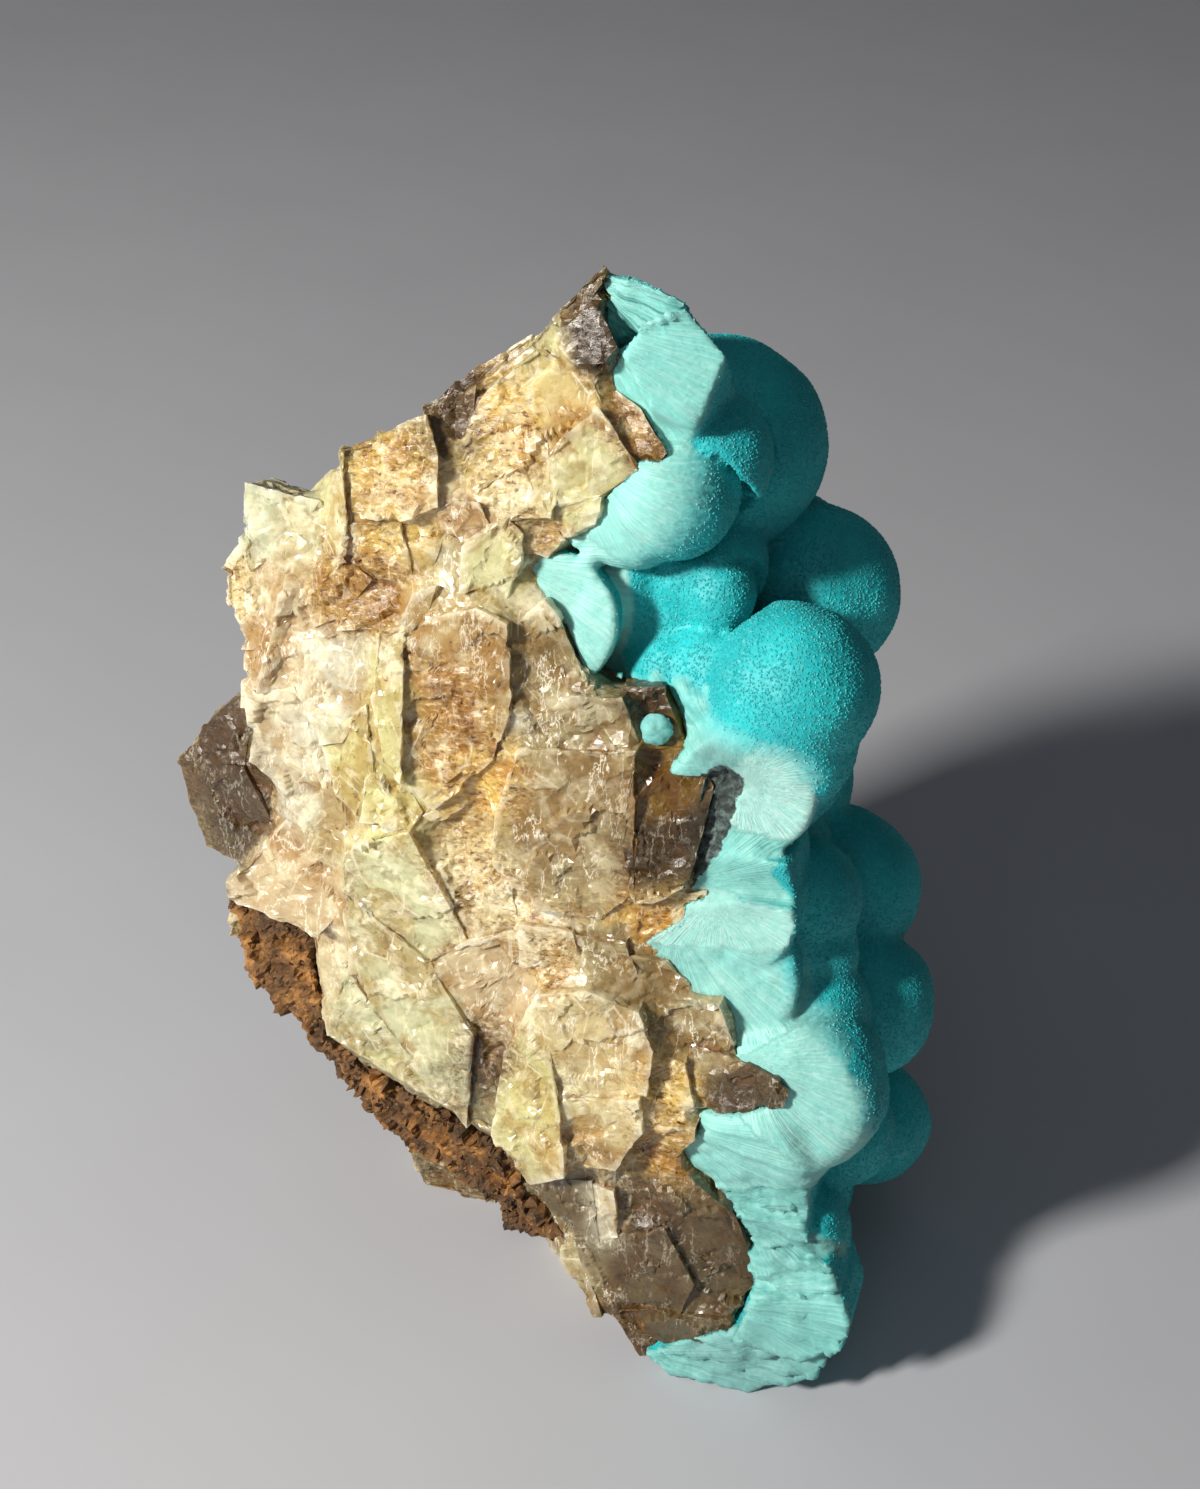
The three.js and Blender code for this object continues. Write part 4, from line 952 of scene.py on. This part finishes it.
def roughen(mesh):
    """Breaks up the broken faces: low ragged steps, and ridges along the fibres."""
    count = len(mesh.vertices)
    marks = {}
    for name, key, width in (
        ("broken", "value", 1), ("rock", "value", 1), ("ragged", "value", 1), ("fibre", "vector", 3),
    ):
        held = np.empty(count * width, dtype=np.float32)
        mesh.attributes[name].data.foreach_get(key, held)
        marks[name] = held.astype(float)
    broken, rock, ragged = marks["broken"], marks["rock"], marks["ragged"]
    fibre = marks["fibre"].reshape(-1, 3)
    way = fibre / np.maximum(np.linalg.norm(fibre, axis=1, keepdims=True), 0.1)
    points, normals = points_of(mesh), normals_of(mesh)
    face = on_face(points)
    rise = np.zeros(count)
    for index in np.nonzero((broken > 0.05) | (rock > 0.05))[0]:
        place = Vector(points[index])
        steps = abs(noise.noise(place / 3.2)) * 1.1 + abs(noise.noise(place / 1.3)) * 0.5 - 0.3
        ridge = noise.noise(Vector(way[index]) * 12) * 0.14
        ridge += noise.noise(Vector(way[index]) * 7) * 1.5 * ragged[index] ** 2
        crumble = noise.noise(place / 0.8) * 0.7
        if face[index, 1] < LEDGE_TOP:
            layer = face[index, 1] + 0.12 * face[index, 0] + 2.5 * noise.noise(place / 5)
            steps += (0.5 - layer / LEDGE_SPACING % 1) * LEDGE_DEPTH / ragged[index]
        relief = broken[index] * (steps * ragged[index] + ridge)
        rise[index] = relief * (1 - rock[index]) + rock[index] * crumble
    moved = (points + normals * rise[:, None]) * MM
    mesh.vertices.foreach_set("co", moved.astype(np.float32).ravel())
    mesh.update()


def crust_material():
    """Hemimorphite: turquoise druse, a skin of crystals too fine to tell apart that scatters light
    like frost, shown by a painted sheen, paler where the surface turns away, and painted highlights on
    its brightest cells; and, where broken, pale silky fibres with darker growth bands, greyed by
    painted shade in some spots. The finest fibres are drawn about 0.2 mm wide, coarser than real
    ones, so that they show."""
    material, tree = new_material("hemimorphite")
    place = add_node(tree, "ShaderNodeTexCoord").outputs["Object"]
    marks = {}
    for name in ("broken", "fibre", "lobe", "white", "ragged", "dull", "rock"):
        marks[name] = add_node(tree, "ShaderNodeAttribute", attribute_name=name).outputs

    # Fibres: noise drawn out along the way from the fibres' start. Bands: noise over the distance
    fibre = {0: marks["fibre"]["Vector"]}
    way = add_node(tree, "ShaderNodeVectorMath", fibre, operation="NORMALIZE")
    reach = add_node(tree, "ShaderNodeVectorMath", fibre, operation="LENGTH")
    along = add_node(tree, "ShaderNodeMath", {0: reach, 1: 0.05}, operation="MULTIPLY")
    shift = {0: marks["lobe"]["Fac"], 1: 3.7, 2: along}
    shift = add_node(tree, "ShaderNodeMath", shift, operation="MULTIPLY_ADD")
    spread = add_node(tree, "ShaderNodeVectorMath", {0: way, "Scale": 7.0}, operation="SCALE")
    tail = add_node(tree, "ShaderNodeCombineXYZ", {"Z": shift})
    fanned = add_node(tree, "ShaderNodeVectorMath", {0: spread, 1: tail}, operation="ADD")
    ringed = add_node(tree, "ShaderNodeCombineXYZ", {"X": reach, "Y": marks["lobe"]["Fac"]})

    # Patterns: what they follow, scale, detail and roughness
    clouds = {}
    for name, where, scale, detail, roughness in (
        ("strands", fanned, 1.7, 4.0, 0.65),
        ("threads", fanned, 6.0, 2.0, 0.6),
        ("bands", ringed, 0.55, 2.0, 0.5),
        ("cloud", place, 1 / (9.0 * MM), 1.0, 0.55),
        ("frayed", place, 1 / (0.8 * MM), 4.0, 0.7),
        ("crumbs", place, 1 / (0.9 * MM), 4.0, 0.7),
        ("crumbling", place, 1 / (1.1 * MM), 4.0, 0.75),
    ):
        links = {"Vector": where, "Scale": scale, "Detail": detail, "Roughness": roughness}
        clouds[name] = add_node(tree, "ShaderNodeTexNoise", links)
    # Druse cells, which also lean the normals below; the brightest get painted highlights in a paler
    # turquoise
    grains = add_node(tree, "ShaderNodeTexVoronoi", {"Vector": place, "Scale": 1 / (0.3 * MM)})
    painted_glint = add_node(tree, "ShaderNodeSeparateColor", {"Color": grains.outputs["Color"]}).outputs["Red"]
    # Painted sheen: the druse is painted paler where its surface turns away from the viewer
    turned_away = add_node(tree, "ShaderNodeLayerWeight", {"Blend": 0.35}).outputs["Facing"]
    torn = {0: clouds["frayed"], 1: 0.4, 2: marks["broken"]["Fac"]}
    torn = add_node(tree, "ShaderNodeMath", torn, operation="MULTIPLY_ADD")
    loose = {0: clouds["crumbling"], 1: 1.4, 2: marks["rock"]["Fac"]}
    loose = add_node(tree, "ShaderNodeMath", loose, operation="MULTIPLY_ADD")

    # Where each thing shows: what it is read from, where that starts and ends, least and most
    shows = {"whiteness": marks["white"]["Fac"]}
    for name, source, start, end, least, most in (
        ("cloud", clouds["cloud"], 0.35, 0.65, 0.0, 1.0),
        # The next two rows are painted light: highlights on the brightest druse cells and a sheen on its
        # rim
        ("painted_glint", painted_glint, 0.7, 1.0, 0.0, 0.15),
        ("rim", turned_away, 0.5, 1.0, 0.0, 0.2),
        ("strands", clouds["strands"], 0.35, 0.62, 0.55, 0.0),
        ("threads", clouds["threads"], 0.46, 0.66, 0.0, 0.5),
        ("gaps", clouds["strands"], 0.5, 0.36, 0.0, 1.0),
        ("rugged", marks["ragged"]["Fac"], 0.2, 0.7, 0.0, 1.0),
        ("bands", clouds["bands"], 0.52, 0.75, 0.0, 0.25),
        # painted shade: a darker, greyer break in the shaded spots
        ("dull", marks["dull"]["Fac"], 0.1, 0.9, 0.0, 0.8),
        ("broken", torn, 0.3, 1.0, 0.0, 1.0),
        ("crumbs", clouds["crumbs"], 0.45, 0.65, 0.0, 1.0),
        ("loose", loose, 1.05, 1.3, 0.0, 1.0),
        ("near the seam", marks["rock"]["Fac"], 0.0, 0.15, 0.0, 1.0),
    ):
        shows[name] = add_node(tree, "ShaderNodeMapRange", {
            "Value": source, "From Min": start, "From Max": end, "To Min": least, "To Max": most,
        })
    for name, first, second in (("dark gaps", "gaps", "rugged"), ("seam", "loose", "near the seam")):
        links = {0: shows[first], 1: shows[second]}
        shows[name] = add_node(tree, "ShaderNodeMath", links, operation="MULTIPLY")

    # Each tone in its turn: what it starts from, then what shows over it
    tones = {name: linear(name) for name in (
        "#0aa8ae", "#14c0c4", "#7fdcda", "#7cc6c4", "#72c2ba", "#afe3d9", "#a0dad2", "#def4ec",
        "#7ccdc6", "#3f8583", "#6fcbc5", "#6c9d9b", "#1f2a27", "#5f7470",
    )}
    for name, first, layers in (
        # The druse's last two layers are painted highlights and a painted sheen on its rim
        ("druse", "#0aa8ae", (("cloud", "#14c0c4"), ("painted_glint", "#7fdcda"), ("rim", "#7cc6c4"))),
        ("thread", "#a0dad2", (("whiteness", "#def4ec"),)),
        ("pale", "#72c2ba", (
            ("whiteness", "#afe3d9"), ("strands", "#7ccdc6"), ("threads", "thread"),
            # The last layer on the next line is painted shade, greying the break
            ("dark gaps", "#3f8583"), ("bands", "#6fcbc5"), ("dull", "#6c9d9b"),
        )),
        ("rock", "#1f2a27", (("crumbs", "#5f7470"),)),
        ("skin", "druse", (("broken", "pale"), ("seam", "rock"))),
    ):
        tone = tones[first]
        for cover, over in layers:
            links = {"Factor": shows[cover], "A": tone, "B": tones[over]}
            tone = add_node(tree, "ShaderNodeMix", links, data_type="RGBA")
        tones[name] = tone

    # Each crystal of the druse leans its own way; the threads stand up as fine ridges
    amount = {"Value": shows["broken"], "To Min": 0.35, "To Max": 0.2}
    amount = add_node(tree, "ShaderNodeMapRange", amount)
    normal = leaning(tree, add_node(tree, "ShaderNodeNewGeometry").outputs["Normal"], grains, amount)
    normal = add_node(tree, "ShaderNodeVectorMath", {0: normal}, operation="NORMALIZE")
    ridges = {0: clouds["threads"], 1: shows["broken"]}
    ridges = add_node(tree, "ShaderNodeMath", ridges, operation="MULTIPLY")
    bump = {"Height": ridges, "Strength": 0.5, "Distance": 0.3 * MM, "Normal": normal}
    shader = add_node(tree, "ShaderNodeBsdfPrincipled", {
        "Base Color": tones["skin"],
        "Roughness": 0.6,
        "IOR": 1.6,
        "Subsurface Weight": 0.2,
        "Subsurface Radius": (0.4, 1.2, 1.2),
        "Subsurface Scale": 1.0 * MM,
        "Sheen Weight": 0.08,
        "Sheen Roughness": 0.4,
        "Sheen Tint": linear("#c8f6f4"),
        "Normal": add_node(tree, "ShaderNodeBump", bump),
    })
    add_node(tree, "ShaderNodeOutputMaterial", {"Surface": shader})
    return material


crust = crust_body()
thin_out(crust)
mark_crust(crust.data)
roughen(crust.data)
rest_on_floor(crust.data)
crust.data.materials.clear()
crust.data.materials.append(crust_material())
crust.data.shade_smooth()
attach(crust, "root")
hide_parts("hemimorphite_crust")

# Druse crystals.
# The skin of the domes: short blunt crystals of hemimorphite, about a third of a millimetre wide,
# wherever the crust is whole. They make it look like sugar, and are a little coarser than real
# ones, so that they show.


def druse_tree():
    """A tree that strews small pyramids over a surface, each along the surface's normal."""
    tree, entry = new_tree("druse", (
        "Crystals per square metre", "Crystal radius", "Crystal length", "Lowest", "Highest",
    ))
    height = add_node(tree, "ShaderNodeSeparateXYZ", {0: add_node(tree, "GeometryNodeInputPosition")})
    above = {0: height.outputs["Z"], 1: entry.outputs["Lowest"]}
    below = {0: height.outputs["Z"], 1: entry.outputs["Highest"]}
    wanted = {
        0: add_node(tree, "ShaderNodeMath", above, operation="GREATER_THAN"),
        1: add_node(tree, "ShaderNodeMath", below, operation="LESS_THAN"),
    }
    bare = add_node(tree, "GeometryNodeInputNamedAttribute", {"Name": "bare"}, data_type="FLOAT")
    cover = {0: 1.0, 1: bare}
    cover = add_node(tree, "ShaderNodeMath", cover, operation="SUBTRACT")
    density = {0: cover, 1: entry.outputs["Crystals per square metre"]}
    strewn = add_node(tree, "GeometryNodeDistributePointsOnFaces", {
        "Mesh": entry.outputs["Geometry"],
        "Selection": add_node(tree, "FunctionNodeBooleanMath", wanted, operation="AND"),
        "Density": add_node(tree, "ShaderNodeMath", density, operation="MULTIPLY"),
        "Seed": 5,
    })
    pyramid = add_node(tree, "GeometryNodeMeshCone", {
        "Vertices": 3,
        "Radius Top": 0.0,
        "Radius Bottom": entry.outputs["Crystal radius"],
        "Depth": entry.outputs["Crystal length"],
    }, fill_type="NGON")
    spin = {"Min": (-0.25, -0.25, 0.0), "Max": (0.25, 0.25, 6.28), "Seed": 2}
    spin = add_node(tree, "FunctionNodeRandomValue", spin, data_type="FLOAT_VECTOR")
    spin = add_node(tree, "FunctionNodeEulerToRotation", {0: spin})
    turned = {"Rotation": strewn.outputs["Rotation"], "Rotate By": spin}
    placed = add_node(tree, "GeometryNodeInstanceOnPoints", {
        "Points": strewn.outputs["Points"],
        "Instance": pyramid.outputs["Mesh"],
        "Rotation": add_node(tree, "FunctionNodeRotateRotation", turned, rotation_space="LOCAL"),
        "Scale": add_node(tree, "FunctionNodeRandomValue", {2: 0.7, 3: 1.25, "Seed": 3}),
    })
    return end_tree(tree, entry, placed)


def strew_druse(name, tree, lowest, highest):
    """The druse between two heights in millimetres, as its own piece."""
    piece = bpy.data.objects.new(name, crust.data.copy())
    bpy.context.scene.collection.objects.link(piece)
    run_tree(piece, tree, {
        "Crystals per square metre": 9.0e6,
        "Crystal radius": 0.18 * MM,
        "Crystal length": 0.10 * MM,
        "Lowest": lowest * MM,
        "Highest": highest * MM,
        "Material": crust.data.materials[0],
    })
    rest_on_floor(piece.data)
    piece.data.shade_flat()
    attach(piece, "root")


druse = druse_tree()
strew_druse("druse_upper", druse, 71.0, 120.0)
strew_druse("druse_middle", druse, 34.0, 71.0)
strew_druse("druse_lower", druse, -1.0, 34.0)

# Nodule.
# A small pale ball of hemimorphite with a lumpy skin, that grew by itself on the calcite, left of
# the crust. Its middle is across, up and out of the broken face.
BEAD_MIDDLE = np.array([-14.5, 77, -1])
bead_bm = merged_copy("hemimorphite_nodule")
bmesh.ops.subdivide_edges(bead_bm, edges=bead_bm.edges, cuts=2, use_grid_fill=True, smooth=0.6)
bead = mesh_object("hemimorphite_bead", bead_bm)
lumps = [abs(noise.noise(vertex.co / (1.2 * MM))) * 0.35 * MM for vertex in bead.data.vertices]
for vertex, lump in zip(bead.data.vertices, lumps):
    vertex.co += vertex.normal * (lump - 0.12 * MM)
store(bead.data, "fibre", on_face(points_of(bead.data)) - BEAD_MIDDLE, "FLOAT_VECTOR")
for mark, amount in (("broken", 0.6), ("lobe", 0.0), ("white", 0.5), ("ragged", 0.3)):
    store(bead.data, mark, np.full(len(bead.data.vertices), amount))
bead.data.materials.clear()
bead.data.materials.append(crust.data.materials[0])
bead.data.shade_smooth()
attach(bead, "root")
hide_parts("hemimorphite_nodule")
